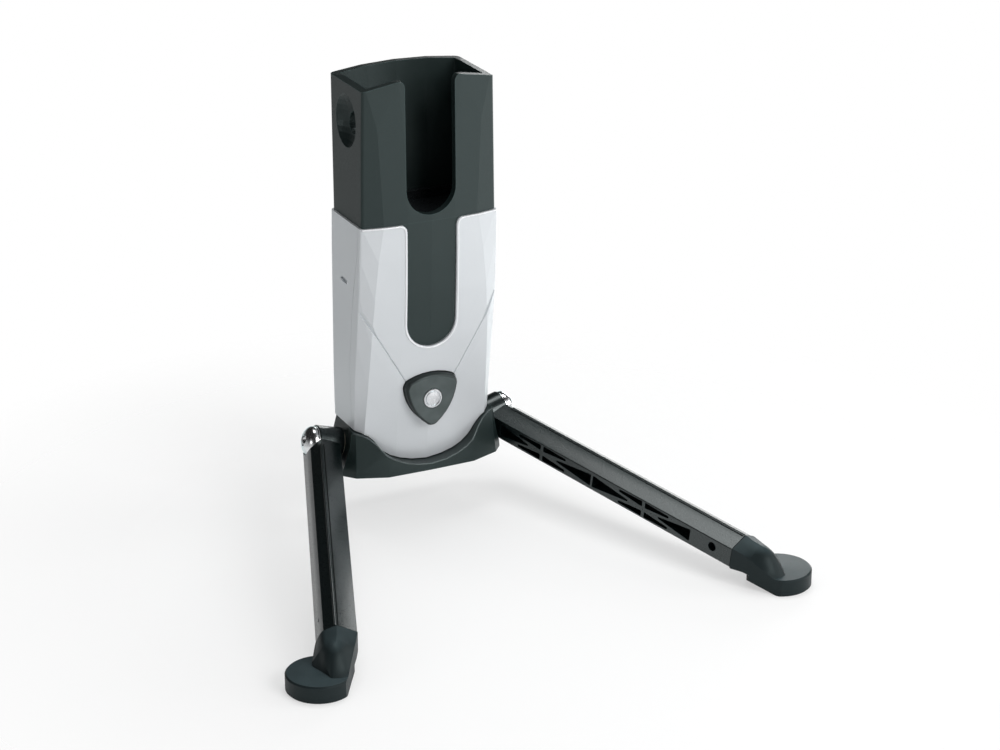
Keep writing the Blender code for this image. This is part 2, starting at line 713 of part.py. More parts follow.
def build_cradle():
    """The crank pocket, with the spine and the tongue that run down from it, as one moulding."""
    rings = [section(CRADLE_SECTIONS, row[0]) for row in CRADLE_SECTIONS[:-1]]
    rings.append(arched(section(CRADLE_SECTIONS, RIM), RIM))
    cradle = loft("cradle", rings, "black_plastic")
    join(cradle, build_spine())
    bake(cradle)
    cut(cradle, pocket_cutter())
    bake(cradle)
    lip = RIM + RIM_ARCH_FRONT * 0.85
    slot = u_outline(SLOT_HALF_WIDTH, SLOT_BOTTOM, RIM + CLEAR, SLOT_LIP_RADIUS, lip)
    cut(cradle, prism("slot_cut", slot, -CLEAR, SLOT_CUT_END))
    bake(cradle)
    origin = (0, EYELET_DEPTH_PLACE, EYELET_HEIGHT)
    cut(cradle, rod("eyelet_cut", EYELET_RADIUS, -CLEAR, CLEAR, origin, (1, 0, 0), 24))
    bake(cradle)
    for sign in (1, -1):
        cut(cradle, dish_cutter(sign))
        bake(cradle)
    return cradle


def pocket_cutter():
    """The crank pocket, less the boss behind each eyelet."""
    heights = (POCKET_FLOOR, *[row[0] for row in CRADLE_SECTIONS[:-1]])
    rings = [section(CRADLE_SECTIONS, z, POCKET_WALL) for z in heights]
    rings.append(arched(section(CRADLE_SECTIONS, RIM, POCKET_WALL), RIM, PAST))
    pocket = loft("pocket_cut", rings)
    near = CRADLE_SECTIONS[2][1] - POCKET_WALL - EYELET_BOSS
    origin = (0, EYELET_DEPTH_PLACE, EYELET_HEIGHT)
    for sign in (1, -1):
        axis = (sign, 0, 0)
        boss = rod("boss", EYELET_BOSS_RADIUS, near, near + 2 * EYELET_BOSS, origin, axis, 24)
        cut(pocket, boss)
    return bake(pocket)


def dish_cutter(sign):
    """An egg shape that sinks a finger dish into the side of the cradle."""
    face = np.interp(EYELET_HEIGHT, [r[0] for r in CRADLE_SECTIONS], [r[1] for r in CRADLE_SECTIONS])
    half_thickness = 3 * DISH_SINK
    share = (half_thickness - DISH_SINK) / half_thickness
    spread = 1 / sqrt(1 - share**2)
    bm = bmesh.new()
    bmesh.ops.create_uvsphere(bm, u_segments=32, v_segments=20, radius=1)
    size = (half_thickness, DISH_HALF_DEPTH * spread, DISH_HALF_HEIGHT * spread)
    bmesh.ops.scale(bm, vec=size, verts=bm.verts)
    out = sign * (face + half_thickness - DISH_SINK)
    bmesh.ops.translate(bm, verts=bm.verts, vec=(out, EYELET_DEPTH_PLACE, EYELET_HEIGHT + DISH_RISE))
    return object_from("dish_cut", bm)


def build_spine():
    """The part of the cradle that runs down inside the shells to the yoke."""
    inset = SHELL_WALL + SPINE_GAP
    spine = body_loft("spine_shape", SHELL_SECTIONS, SPINE_FLOOR_LOW, SEAM + JOIN, inset)
    cavity = body_loft("cavity", SHELL_SECTIONS, SPINE_FLOOR_TOP, SPINE_ROOF, inset + SPINE_WALL)
    cut(spine, cavity)
    window = block(
        "window",
        (-SPINE_WINDOW_HALF, TENON_FRONT, SPINE_WINDOW_LOW),
        (SPINE_WINDOW_HALF, CLEAR, SPINE_WINDOW_HIGH),
    )
    cut(spine, window)
    tenon = block(
        "tenon",
        (-TENON_HALF_WIDTH, TENON_FRONT, YOKE_BOTTOM),
        (TENON_HALF_WIDTH, TENON_BACK, SPINE_FLOOR_LOW + JOIN),
    )
    seat = edge_outline(EDGE_GAP, YOKE_BOTTOM - PAST)
    cut(tenon, prism("seat_cut", seat, -CLEAR, CLEAR))
    bake(tenon)
    bake(spine)
    join(spine, tenon)
    bake(spine)

    low = TONGUE_BOTTOM - PAST
    tongue = body_loft("tongue", SHELL_SECTIONS, low, SEAM + JOIN, TONGUE_SINK)
    width = TONGUE_HALF_WIDTH
    outline = u_outline(width, TONGUE_BOTTOM, SEAM + 2 * JOIN, U_LIP_RADIUS, SEAM)
    trim(tongue, prism("tongue_cut", outline, -CLEAR, TONGUE_BACK))
    bake(tongue)
    join(spine, tongue)
    bake(spine)

    room = BUTTON_FLANGE + BUTTON_ROOM
    hole = shield_loft("button_hole", ((room, -PAST, 0.0), (room, BUTTON_HOLE_END, 0.0)))
    cut(spine, hole)
    bake(spine)
    join(spine, guide_rib())
    bake(spine)
    for sign in (1, -1):
        out = sign * BASE_SCREW_OUT
        place = (out, BASE_SCREW_PLACE, YOKE_BOTTOM)
        depth = BASE_SCREW_LENGTH + PAST
        cut(spine, rod("hole", SCREW_RADIUS + GAP, 0, depth, place, (0, 0, 1), 16))
        for height in SHELL_SCREW_HEIGHTS:
            place = (sign * SHELL_SCREW_OUT, back_at(height), height)
            depth = SCREW_LENGTH + PAST
            cut(spine, rod("hole", SCREW_RADIUS + GAP, 0, depth, place, (0, -1, 0), 16))
    return bake(spine)


def shell_half_width(height):
    return np.interp(height, [r[0] for r in SHELL_SECTIONS], [r[1] for r in SHELL_SECTIONS])


def back_at(height):
    """Where the back of the shells is at a screw, at a height."""
    backs = np.interp(height, [r[0] for r in SHELL_SECTIONS], [r[6] for r in SHELL_SECTIONS])
    width = shell_half_width(height)
    share = (width - BACK_CORNER - SHELL_SCREW_OUT) / (width * 0.5 - BACK_CORNER)
    return backs + 0.75 * BACK_BULGE * share


def guide_rib():
    """The wall inside the spine that guides the button's stem and backs its spring."""
    frame = button_frame()
    reach = shell_half_width(BUTTON_HEIGHT) - SHELL_WALL - SPINE_GAP - SPINE_WALL / 2
    low = Vector((-reach, -GUIDE_HALF_HEIGHT, GUIDE_PLACE))
    high = Vector((reach, GUIDE_HALF_HEIGHT, GUIDE_PLACE + GUIDE_THICKNESS))
    rib = block("rib", low, high)
    rib.data.transform(frame)
    place = frame @ Vector((0, 0, GUIDE_PLACE - PAST))
    axis = frame.to_3x3() @ Vector((0, 0, 1))
    cut(rib, rod("hole", STEM_RADIUS + GAP, 0, GUIDE_THICKNESS + 2 * PAST, place, axis, 24))
    return bake(rib)


def build_pad():
    inset = POCKET_WALL + GAP
    floor = POCKET_FLOOR + GAP
    heights = (floor, floor + PAD_THICKNESS)
    pad = loft("crank_rest_pad", [section(CRADLE_SECTIONS, z, inset) for z in heights], "soft_rubber")
    tall = loft("upstand", [section(CRADLE_SECTIONS, z, inset) for z in (floor, floor + PAD_UPSTAND)])
    front = CRADLE_SECTIONS[0][6] - inset - PAD_UPSTAND_THICKNESS
    trim(tall, block("back_strip", (-CLEAR, front, floor - PAST), (CLEAR, CLEAR, SEAM * 2)))
    bake(tall)
    join(pad, tall)
    return bake(pad)


def shell_solid(name):
    top = SEAM - GAP
    shell = body_loft(name, SHELL_SECTIONS, SHELL_SECTIONS[0][0], top, 0.0, "silver_plastic")
    low = SHELL_SECTIONS[0][0]
    core = body_loft("core", SHELL_SECTIONS, low - PAST, SEAM + PAST, SHELL_WALL)
    cut(shell, core)
    below = edge_outline(EDGE_GAP, low - PAST)
    cut(shell, prism("below", below, -CLEAR, CLEAR))
    return bake(shell)


def build_front_shell():
    shell = shell_solid("front_shell")
    width = TONGUE_HALF_WIDTH + TONGUE_GAP
    outline = u_outline(width, TONGUE_BOTTOM - TONGUE_GAP, SEAM + CLEAR, U_LIP_RADIUS, SEAM)
    cut(shell, prism("u_cut", outline, -CLEAR, TONGUE_BACK / 2))
    cut(shell, parting_block("behind", True, -GAP / 2))
    hole = ((BUTTON_GAP, -CLEAR / 10, 0.0), (BUTTON_GAP, BUTTON_HOLE_END, 0.0))
    cut(shell, shield_loft("button_hole", hole))
    bake(shell)
    for sign in (1, -1):
        cut(shell, groove_cutter(sign))
    return bake(shell)


def front_at(across, height):
    """The place of the shells' face along Y, at a sideways place and a height."""
    face = sorted((point.x, point.y) for point in section(SHELL_SECTIONS, height) if point.y < 0)
    return np.interp(across, [x for x, _ in face], [y for _, y in face])


def groove_cutter(sign):
    """A V-shaped cutter that follows the face of the front shell."""
    path = []
    for start, end in zip(GROOVE, GROOVE[1:]):
        shares = [k / GROOVE_STEPS for k in range(GROOVE_STEPS)]
        path += [Vector(start).lerp(Vector(end), share) for share in shares]
    path.append(Vector(GROOVE[-1]))
    spread = GROOVE_HALF_WIDTH * (1 + PAST / GROOVE_DEPTH)
    rings = []
    for k, point in enumerate(path):
        along = path[min(k + 1, len(path) - 1)] - path[max(k - 1, 0)]
        side = Vector((along.y, -along.x)).normalized() * spread
        face = front_at(point.x, point.y)
        ring = (
            (point.x, face + GROOVE_DEPTH, point.y),
            (point.x + side.x, face - PAST, point.y + side.y),
            (point.x - side.x, face - PAST, point.y - side.y),
        )
        rings.append([Vector((sign * x, y, z)) for x, y, z in ring])
    return loft("groove", rings)


def build_rear_shell():
    shell = shell_solid("rear_shell")
    cut(shell, parting_block("in_front", False, -GAP / 2))
    place, height = SIDE_SLOT_PLACE
    near = shell_half_width(height) - SIDE_SLOT_SINK
    front = place - SIDE_SLOT_LENGTH / 2
    straight = place + SIDE_SLOT_LENGTH / 2 - SIDE_SLOT_HEIGHT
    slot = (
        (front, height - SIDE_SLOT_HEIGHT / 2),
        (straight, height - SIDE_SLOT_HEIGHT / 2),
        (place + SIDE_SLOT_LENGTH / 2, height),
        (straight, height + SIDE_SLOT_HEIGHT / 2),
        (front, height + SIDE_SLOT_HEIGHT / 2),
    )
    for sign in (1, -1):
        cut(shell, along_x("side_slot", slot, sign * near, sign * (near + CLEAR)))
        for height in SHELL_SCREW_HEIGHTS:
            place = (sign * SHELL_SCREW_OUT, back_at(height) + PAST, height)
            depth = SHELL_WALL + 3 * PAST
            cut(shell, rod("hole", SCREW_RADIUS + GAP, 0, depth, place, (0, -1, 0), 16))
            sink = SCREW_HEAD_SINK + PAST
            cut(shell, rod("sink", SCREW_HEAD_RADIUS + GAP, 0, sink, place, (0, -1, 0), 24))
    return bake(shell)


def yoke_side(height):
    """Half width of the yoke's side wall, which is square to the hinge pin."""
    axis = hinge_axis()
    face = HINGE + axis * (HUB_IN - THRUST_WASHER - 2 * GAP)
    return face.x - (height - face.z) * axis.z / axis.x


def yoke_ring(height):
    heights = [row[0] for row in YOKE_PLANS]
    columns = zip(*[row[1:] for row in YOKE_PLANS])
    front, flat, cheek, cheek_back, horn, horn_front = (
        np.interp(height, heights, column) for column in columns
    )
    side = yoke_side(height)
    lean = hinge_axis().y / hinge_axis().x
    recess = HORN_BACK + HORN_STEP
    chamfer = YOKE_BACK - YOKE_BACK_CHAMFER
    right = [
        (flat, front + YOKE_FRONT_SOFT),
        (cheek, front + cheek_back),
        (horn, front + horn_front),
        (horn, HORN_BACK),
        (side - lean * (recess - HINGE.y), recess),
        (side - lean * (chamfer - HINGE.y), chamfer),
        (side - YOKE_BACK_CHAMFER, YOKE_BACK),
    ]
    left = [(-x, y) for x, y in reversed(right)]
    plan = [(MIDDLE, front), *right, (MIDDLE, YOKE_BACK), *left]
    return [Vector((x, y, height)) for x, y in plan]


def build_yoke():
    yoke = loft("yoke", [yoke_ring(row[0]) for row in YOKE_PLANS], "black_plastic")
    right = [
        *EDGE,
        (HORN_INNER, HORN_TOP),
        (HORN_OUTER, HORN_TOP - HORN_SOFT),
        (HORN_SHOULDER_OUT, HORN_SHOULDER),
        (CLEAR, HORN_SHOULDER),
    ]
    left = [(-x, z) for x, z in reversed(right[1:])]
    top = YOKE_BOTTOM + CLEAR
    outline = [(-CLEAR, top), *left, *right, (CLEAR, top)]
    cut(yoke, prism("yoke_top", outline[::-1], -CLEAR, CLEAR))
    bake(yoke)
    notch = [NOTCH_TOP, NOTCH_LOW, (NOTCH_LOW[0], top), (NOTCH_TOP[0], top)]
    axis = hinge_axis()
    for sign in (1, -1):
        cut(yoke, along_x("notch", notch, sign * NOTCH_IN, sign * CLEAR))
        hinge = Vector((sign * HINGE.x, HINGE.y, HINGE.z))
        out = Vector((sign * axis.x, axis.y, axis.z))
        cut(yoke, rod("bore", PIN_RADIUS + GAP, PIN_TAIL - JOIN, 0, hinge, out, 24))
        cut(yoke, nut_pocket(hinge, out))
        cut(yoke, sweep_room(hinge, out))
        place = (sign * BASE_SCREW_OUT, BASE_SCREW_PLACE, YOKE_BOTTOM - PAST)
        depth = BASE_SCREW_LENGTH + 2 * PAST
        cut(yoke, rod("hole", SCREW_RADIUS + GAP, 0, depth, place, (0, 0, 1), 16))
        sink = SCREW_HEAD_SINK + PAST
        cut(yoke, rod("sink", SCREW_HEAD_RADIUS + GAP, 0, sink, place, (0, 0, 1), 24))
    return bake(yoke)


def sweep_room(hinge, out):
    """The room that the lower inner edge of the leg needs as it folds."""
    frame = leg_frame()
    axis = hinge_axis()
    profile = []
    for along in SWEEP_STATIONS:
        point = frame @ Vector((along, -LEG_HALF_WIDTH, -LEG_UNDER)) - HINGE
        height = point.dot(axis)
        radius = (point - axis * height).length
        profile.append((radius, max(height, HUB_IN) - SWEEP_GAP))
    far = profile[-1][0]
    profile += [(far, CLEAR), (profile[0][0], CLEAR)]
    return turned("sweep_room", profile, hinge, out, 48)


def nut_pocket(hinge, out):
    """A pocket for the nut, open below."""
    thick = (NUT_THICKNESS + 2 * GAP) / abs(out.x)
    half = NUT_ACROSS / 2 + GAP
    middle = hinge + out * (NUT_OUT - NUT_THICKNESS / 2)
    side = Vector((0, 1, 0))
    rings = []
    for height in (YOKE_BOTTOM - PAST, middle.z + NUT_ACROSS * 0.62):
        ring = []
        for along, across in ((-1, -1), (1, -1), (1, 1), (-1, 1)):
            shift = Vector((0.5 * thick * along * (1 if out.x > 0 else -1), 0, 0))
            lean = (height - middle.z) * -out.z / out.x
            ring.append(Vector((middle.x + lean, middle.y, height)) + shift + side * half * across)
        rings.append(ring)
    return loft("nut_pocket", rings)


def build_leg(name):
    frame = leg_frame()
    rings = []
    for along in (0.0, leg_length()):
        rings.append([frame @ Vector((along, y, z)) for y, z in leg_section()])
    leg = loft(name, rings, "black_leg")
    axis = hinge_axis()
    hub = rod("hub", HUB_RADIUS, HUB_IN - PAST, HUB_OUT + CHROME_RING + GAP, HINGE, axis, 32)
    join(leg, hub)
    cut(leg, rod("inner_trim", CLEAR, HUB_IN - CLEAR, HUB_IN, HINGE, axis, 32))
    bake(leg)
    cut(leg, rod("head_room", CHROME_RING_RADIUS + HEAD_ROOM, HUB_OUT, CLEAR, HINGE, axis, 32))
    bake(leg)
    bore = PIN_RADIUS + RUNNING_GAP + BUSH_WALL + GAP
    cut(leg, rod("bore", bore, HUB_IN - 2 * PAST, HUB_OUT + 2 * PAST, HINGE, axis, 24))
    for pocket in lattice_pockets(frame):
        cut(leg, pocket)
    end = leg_length()
    socket = block(
        "socket",
        (end - PLUG_LENGTH - GAP, -PLUG_HALF_WIDTH - GAP, PLUG_LOW - GAP),
        (end + PAST, PLUG_HALF_WIDTH + GAP, PLUG_HIGH + GAP),
    )
    socket.data.transform(frame)
    cut(leg, socket)
    place = frame @ Vector((PLUG_HOLE_PLACE, 0, PLUG_HOLE_HEIGHT))
    inward = frame.to_3x3() @ Vector((0, -1, 0))
    cut(leg, rod("plug_hole", PLUG_HOLE_RADIUS, 0, 2 * LEG_HALF_WIDTH, place, inward, 16))
    place = frame @ Vector((PLUG_HOLE_PLACE, LEG_HALF_WIDTH - CATCH_NOTCH_DEPTH, CATCH_NOTCH_HEIGHT))
    cut(leg, rod("catch_notch", CATCH_NOTCH_RADIUS, -CLEAR, 0, place, inward, 16))
    return leg


def lattice_pockets(frame):
    """Six blind pockets a cell, parted by a post and two crossed ribs."""
    made = []
    for start, node, end in LATTICE_CELLS:
        for far in (start, end):
            for up in (1, -1):
                made.append(side_pocket(frame, node, far, up))
            way = 1 if far > node else -1
            corners = (
                (far, LATTICE_MIDDLE + LATTICE_END_HALF),
                (far, LATTICE_MIDDLE - LATTICE_END_HALF),
                (node + way * LATTICE_TIP, LATTICE_MIDDLE),
            )
            made.append(pocket(frame, corners))
    return made


def side_pocket(frame, node, far, up):
    """The narrow pocket beside a node, above or below the middle, toward the far end of the cell."""
    way = 1 if far > node else -1
    share = LATTICE_SIDE_REACH / abs(far - node)
    outer = LATTICE_NODE_HALF + (LATTICE_END_HALF - LATTICE_NODE_HALF) * share
    near_place = node + way * LATTICE_POST_HALF
    far_place = node + way * LATTICE_SIDE_REACH
    corners = (
        (near_place, LATTICE_MIDDLE + up * LATTICE_NODE_HALF),
        (far_place, LATTICE_MIDDLE + up * outer),
        (far_place, LATTICE_MIDDLE + up * (outer - LATTICE_SIDE_END)),
        (near_place, LATTICE_MIDDLE + up * LATTICE_SIDE_FOOT),
    )
    return pocket(frame, corners)


def pocket(frame, corners):
    """A blind pocket with rounded corners, cut from the inner side of the leg."""
    corners = [Vector(corner) for corner in corners]
    outline = []
    for k, corner in enumerate(corners):
        before, after = corners[k - 1], corners[(k + 1) % len(corners)]
        outline += fillet(before, corner, after, LATTICE_CORNER, LATTICE_CORNER_STEPS)
    face = -LEG_HALF_WIDTH
    rings = [
        [frame @ Vector((x, y, z)) for x, z in outline] for y in (face - PAST, face + LATTICE_DEPTH)
    ]
    return loft("lattice_pocket", rings)


def foot_point(reach, wide, height):
    """A point beyond the end of the leg: level reach, distance outward, and height."""
    along = (LEG_END - HINGE) * Vector((1, 1, 0))
    start = along.length
    along.normalize()
    outward = Vector((-along.y, along.x, 0))
    point = HINGE + along * (start + reach) + outward * wide
    return Vector((point.x, point.y, height))


def build_disc():
    """The round pad, trimmed flat along the inner side of the sleeve."""
    profile = (
        (0, 0),
        (DISC_RADIUS - SOLE_SOFT, 0),
        (DISC_RADIUS, SOLE_SOFT),
        (DISC_RADIUS, DISC_THICKNESS - DISC_SOFT),
        (DISC_RADIUS - DISC_SOFT, DISC_THICKNESS),
        (0, DISC_THICKNESS + DISC_CROWN),
    )
    disc = turned("disc", profile, (DISC_OUT, DISC_FRONT, 0), (0, 0, 1), 48)
    rings = []
    for reach in (-DISC_RADIUS, 4 * DISC_RADIUS):
        edge = on_line(INNER_SIDE, reach) + GAP / 4
        far = edge - CLEAR
        corners = ((edge, -PAST), (far, -PAST), (far, CLEAR), (edge, CLEAR))
        rings.append([foot_point(reach, wide, height) for wide, height in corners])
    cut(disc, loft("inner_trim", rings))
    return bake(disc)


def on_line(line, reach):
    """The sideways place of a straight line in plan, at a reach."""
    (start, first), (end, second) = line
    return first + (second - first) * (reach - start) / (end - start)


def relief_cutter():
    """The bevel under the inner edge of the pad."""
    rings = []
    for reach in (-DISC_RADIUS, RELIEF_END):
        edge = on_line(RELIEF_LINE, reach)
        run = DISC_RADIUS
        corners = (
            (edge + PAST / RELIEF_SLOPE, -PAST),
            (edge - run, -PAST),
            (edge - run, run * RELIEF_SLOPE),
        )
        rings.append([foot_point(reach, wide, height) for wide, height in corners])
    return loft("relief", rings)


def along_curve(reaches, values, reach):
    """A smooth curve through the values, read at a reach."""
    slopes = np.gradient(values, reaches)
    k = min(max(int(np.searchsorted(reaches, reach)) - 1, 0), len(reaches) - 2)
    span = reaches[k + 1] - reaches[k]
    t = (reach - reaches[k]) / span
    start = values[k] * (1 + 2 * t) * (1 - t) ** 2 + slopes[k] * span * t * (1 - t) ** 2
    end = values[k + 1] * t**2 * (3 - 2 * t) + slopes[k + 1] * span * t**2 * (t - 1)
    return start + end


def sleeve_ring(reach):
    """One ring of the foot's sleeve."""
    columns = SLEEVE.T
    inner, eave, place, top, outer, outer_eave, flare, crown = (
        along_curve(columns[0], column, reach) for column in columns[1:]
    )
    low, outer_low = (np.interp(reach, SLEEVE_UNDER[:, 0], SLEEVE_UNDER[:, k]) for k in (1, 2))
    plan = roofed(
        (inner, eave, low), (outer, outer_eave, outer_low, flare), (place, top), crown
    )
    return [foot_point(reach, wide, height) for wide, height in plan]


def build_foot(name):
    frame = leg_frame()
    start = leg_length() + GAP
    rings = [[frame @ Vector((start, y, z)) for y, z in leg_section(SLEEVE_PROUD)]]
    heel = SLEEVE_UNDER[2, 0]
    steps = round((SLEEVE[-1, 0] - heel) / SLEEVE_STEP)
    reaches = [*SLEEVE_UNDER[:2, 0], *np.linspace(heel, SLEEVE[-1, 0], steps + 1)]
    rings += [sleeve_ring(reach) for reach in reaches]
    foot = loft(name, rings, "soft_rubber")
    join(foot, build_disc())
    bake(foot)
    cut(foot, relief_cutter())
    bake(foot)
    plug = block(
        "plug",
        (start - PLUG_LENGTH, -PLUG_HALF_WIDTH, PLUG_LOW),
        (start + 3 * PAST, PLUG_HALF_WIDTH, PLUG_HIGH),
    )
    plug.data.transform(frame)
    join(foot, plug)
    return foot


def build_thrust_washer(name):
    low = HUB_IN - GAP - THRUST_WASHER
    inner = PIN_RADIUS + GAP
    outer = THRUST_WASHER_RADIUS
    profile = ((inner, low), (outer, low), (outer, low + THRUST_WASHER), (inner, low + THRUST_WASHER))
    return turned(name, profile, HINGE, hinge_axis(), 32, "bearing_plastic")


def build_bush(name):
    inner = PIN_RADIUS + RUNNING_GAP
    outer = inner + BUSH_WALL
    profile = ((inner, HUB_IN), (outer, HUB_IN), (outer, HUB_OUT), (inner, HUB_OUT))
    return turned(name, profile, HINGE, hinge_axis(), 24, "bearing_plastic")


def build_chrome_ring(name):
    low = HUB_OUT + GAP
    high = low + CHROME_RING
    inner = PIN_RADIUS + GAP
    outer = CHROME_RING_RADIUS
    soft = 0.25 * MM
    profile = (
        (inner, low),
        (outer - soft, low),
        (outer, low + soft),
        (outer, high - soft),
        (outer - soft, high),
        (inner, high),
    )
    return turned(name, profile, HINGE, hinge_axis(), 40, "chrome")


def build_hinge_pin(name):
    base = HUB_OUT + GAP + CHROME_RING + GAP
    recess = base + HEAD_HEIGHT - HEAD_RECESS_DEPTH
    dome = []
    reach = 78
    for k in range(8):
        angle = radians(reach * k / 7)
        squash = sin(angle)
        dome.append((HEAD_RADIUS * cos(angle), base + 0.5 * MM + (HEAD_HEIGHT - 0.5 * MM) * squash))
    dome = [point for point in dome if point[0] > HEAD_RECESS_RADIUS + 0.3 * MM]
    profile = [
        (0, PIN_TAIL),
        (PIN_RADIUS - 0.5 * MM, PIN_TAIL),
        (PIN_RADIUS, PIN_TAIL + 0.5 * MM),
        (PIN_RADIUS, base),
        (HEAD_RADIUS, base),
        *dome,
        (HEAD_RECESS_RADIUS, base + HEAD_HEIGHT - 0.35 * MM),
        (HEAD_RECESS_RADIUS, recess),
        (0, recess - 0.6 * MM),
    ]
    return turned(name, profile, HINGE, hinge_axis(), 32, "chrome")


def build_pin_nut(name):
    axis = hinge_axis()
    low = NUT_OUT - NUT_THICKNESS
    radius = NUT_ACROSS / 2 / cos(pi / 6)
    nut = rod(name, radius, low, NUT_OUT, HINGE, axis, 6, "steel")
    cut(nut, rod("thread", PIN_RADIUS + GAP, low - PAST, NUT_OUT + PAST, HINGE, axis, 24))
    return nut


def build_screw(name, place, axis, length):
    """A pan screw whose head lies in its sink, with a round socket; axis points out of the head."""
    head_low = -SCREW_HEAD_SINK + GAP
    profile = (
        (0, -length),
        (SCREW_RADIUS, -length + 1 * MM),
        (SCREW_RADIUS, head_low),
        (SCREW_HEAD_RADIUS, head_low),
        (SCREW_HEAD_RADIUS, -0.3 * MM),
        (SCREW_HEAD_RADIUS - 0.5 * MM, 0),
        (SOCKET_RADIUS, 0),
        (SOCKET_RADIUS * 0.9, -0.7 * MM),
        (0, -0.7 * MM),
    )
    return turned(name, profile, place, axis, 20, "steel")


def build_button_cap():
    front = -BUTTON_PROUD
    seat = button_seat()
    turns = [pi / 2 * k / BUTTON_SHOULDER_STEPS for k in range(BUTTON_SHOULDER_STEPS + 1)]
    soft = BUTTON_SHOULDER_ROUND
    lean = BUTTON_LEAN
    stations = (
        *((-soft * (1 - sin(turn)), front + soft * (1 - cos(turn)), lean) for turn in turns),
        (0.0, seat, 0.0),
        (BUTTON_FLANGE, seat, 0.0),
        (BUTTON_FLANGE, button_back(), 0.0),
    )
    cap = shield_loft("button_cap", stations, "black_plastic")
    frame = button_frame()
    place = frame.translation
    axis = frame.to_3x3() @ Vector((0, 0, 1))
    shoulder = GUIDE_PLACE + GUIDE_THICKNESS + GAP
    end = shoulder + LOCK_THICKNESS + STEM_TAIL
    tip = STEM_TIP_RADIUS
    profile = ((0, seat), (STEM_RADIUS, seat), (STEM_RADIUS, shoulder), (tip, shoulder), (tip, end))
    stem = turned("stem", (*profile, (0, end)), place, axis, 24)
    join(cap, stem)
    bake(cap)
    room = ((0, BADGE_SINK), (BADGE_RADIUS + GAP, BADGE_SINK), (BADGE_RADIUS + GAP, -PAST), (0, -PAST))
    cut(cap, on_face("badge_room", room))
    return bake(cap)


def button_seat():
    """Where the flange meets the inside of the shell."""
    return BUTTON_FACE_CURVE + SHELL_WALL + GAP


def button_back():
    return button_seat() + BUTTON_FLANGE_THICKNESS


def on_face(name, profile, surface=None):
    """A turned shape on the button's leaning face, with its profile measured inward from it."""
    frame = button_frame()
    place = frame @ Vector((0, BADGE_UP, BUTTON_LEAN * BADGE_UP - BUTTON_PROUD))
    axis = frame.to_3x3() @ Vector((0, -BUTTON_LEAN, 1))
    return turned(name, profile, place, axis, 32, surface)


def build_badge():
    """A plain domed disc with a fine ring, let into the button."""
    back = BADGE_SINK - GAP
    soft = 0.5 * BADGE_PROUD
    ring = BADGE_RING
    profile = (
        (0, back),
        (BADGE_RADIUS, back),
        (BADGE_RADIUS, -soft),
        (BADGE_RADIUS - soft, -BADGE_PROUD),
        (ring + BADGE_GROOVE, -BADGE_PROUD),
        (ring, BADGE_GROOVE - BADGE_PROUD),
        (ring - BADGE_GROOVE, -BADGE_PROUD),
        (0.5 * ring, -0.85 * BADGE_PROUD - BADGE_CROWN),
        (0, -BADGE_PROUD - BADGE_CROWN),
    )
    return on_face("button_badge", profile, "dark_badge")


def build_lock_plate():
    frame = button_frame()
    low = GUIDE_PLACE + GUIDE_THICKNESS + GAP
    plate = block(
        "lock_plate",
        (-LOCK_HALF_WIDTH, -LOCK_HALF_HEIGHT, low),
        (LOCK_HALF_WIDTH, LOCK_HALF_HEIGHT, low + LOCK_THICKNESS),
        "steel",
    )
    plate.data.transform(frame)
    place = frame @ Vector((0, 0, low - PAST))
    axis = frame.to_3x3() @ Vector((0, 0, 1))
    cut(plate, rod("hole", STEM_TIP_RADIUS + GAP, 0, LOCK_THICKNESS + 2 * PAST, place, axis, 16))
    return bake(plate)


def build_spring():
    """One unbroken wire round the stem, between the button's flange and the guide rib."""
    frame = button_frame()
    start = button_back() + GAP + SPRING_WIRE
    end = GUIDE_PLACE - GAP - SPRING_WIRE
    count = SPRING_CURLS * SPRING_POINTS
    data = bpy.data.curves.new("button_spring", "CURVE")
    data.dimensions = "3D"
    data.bevel_depth = SPRING_WIRE
    data.bevel_resolution = 1
    data.use_fill_caps = True
    line = data.splines.new("POLY")
    line.points.add(count)
    places = []
    for k in range(count + 1):
        turn = 2 * pi * k / SPRING_POINTS
        along = start + (end - start) * k / count
        local = Vector((SPRING_RADIUS * cos(turn), SPRING_RADIUS * sin(turn), along))
        places.append(frame @ local)
        line.points[k].co = (*places[-1], 1)
    data.materials.append(material("steel"))
    spring = bpy.data.objects.new("button_spring", data)
    bpy.context.collection.objects.link(spring)
    apart = SPRING_POINTS // 2
    near = min((a - b).length for k, a in enumerate(places) for b in places[k + apart :])
    print(f"button spring: least gap to itself {(near - 2 * SPRING_WIRE) / MM:.2f} mm")
    return spring


def empty(name, place, parent=None):
    made = bpy.data.objects.new(name, None)
    bpy.context.collection.objects.link(made)
    made.parent = parent
    made.location = Vector(place)
    return made


def centre_on_floor(root):
    """Moves the stand so that the origin lies under the middle of its box."""
    bpy.context.view_layer.update()
    graph = bpy.context.evaluated_depsgraph_get()
    depths = []
    for obj in bpy.data.objects:
        if obj.type in ("MESH", "CURVE") and not obj.hide_render:
            done = obj.evaluated_get(graph)
            mesh = done.to_mesh()
            depths += [(done.matrix_world @ v.co).y for v in mesh.vertices]
            done.to_mesh_clear()
    root.location.y = -0.5 * (min(depths) + max(depths))


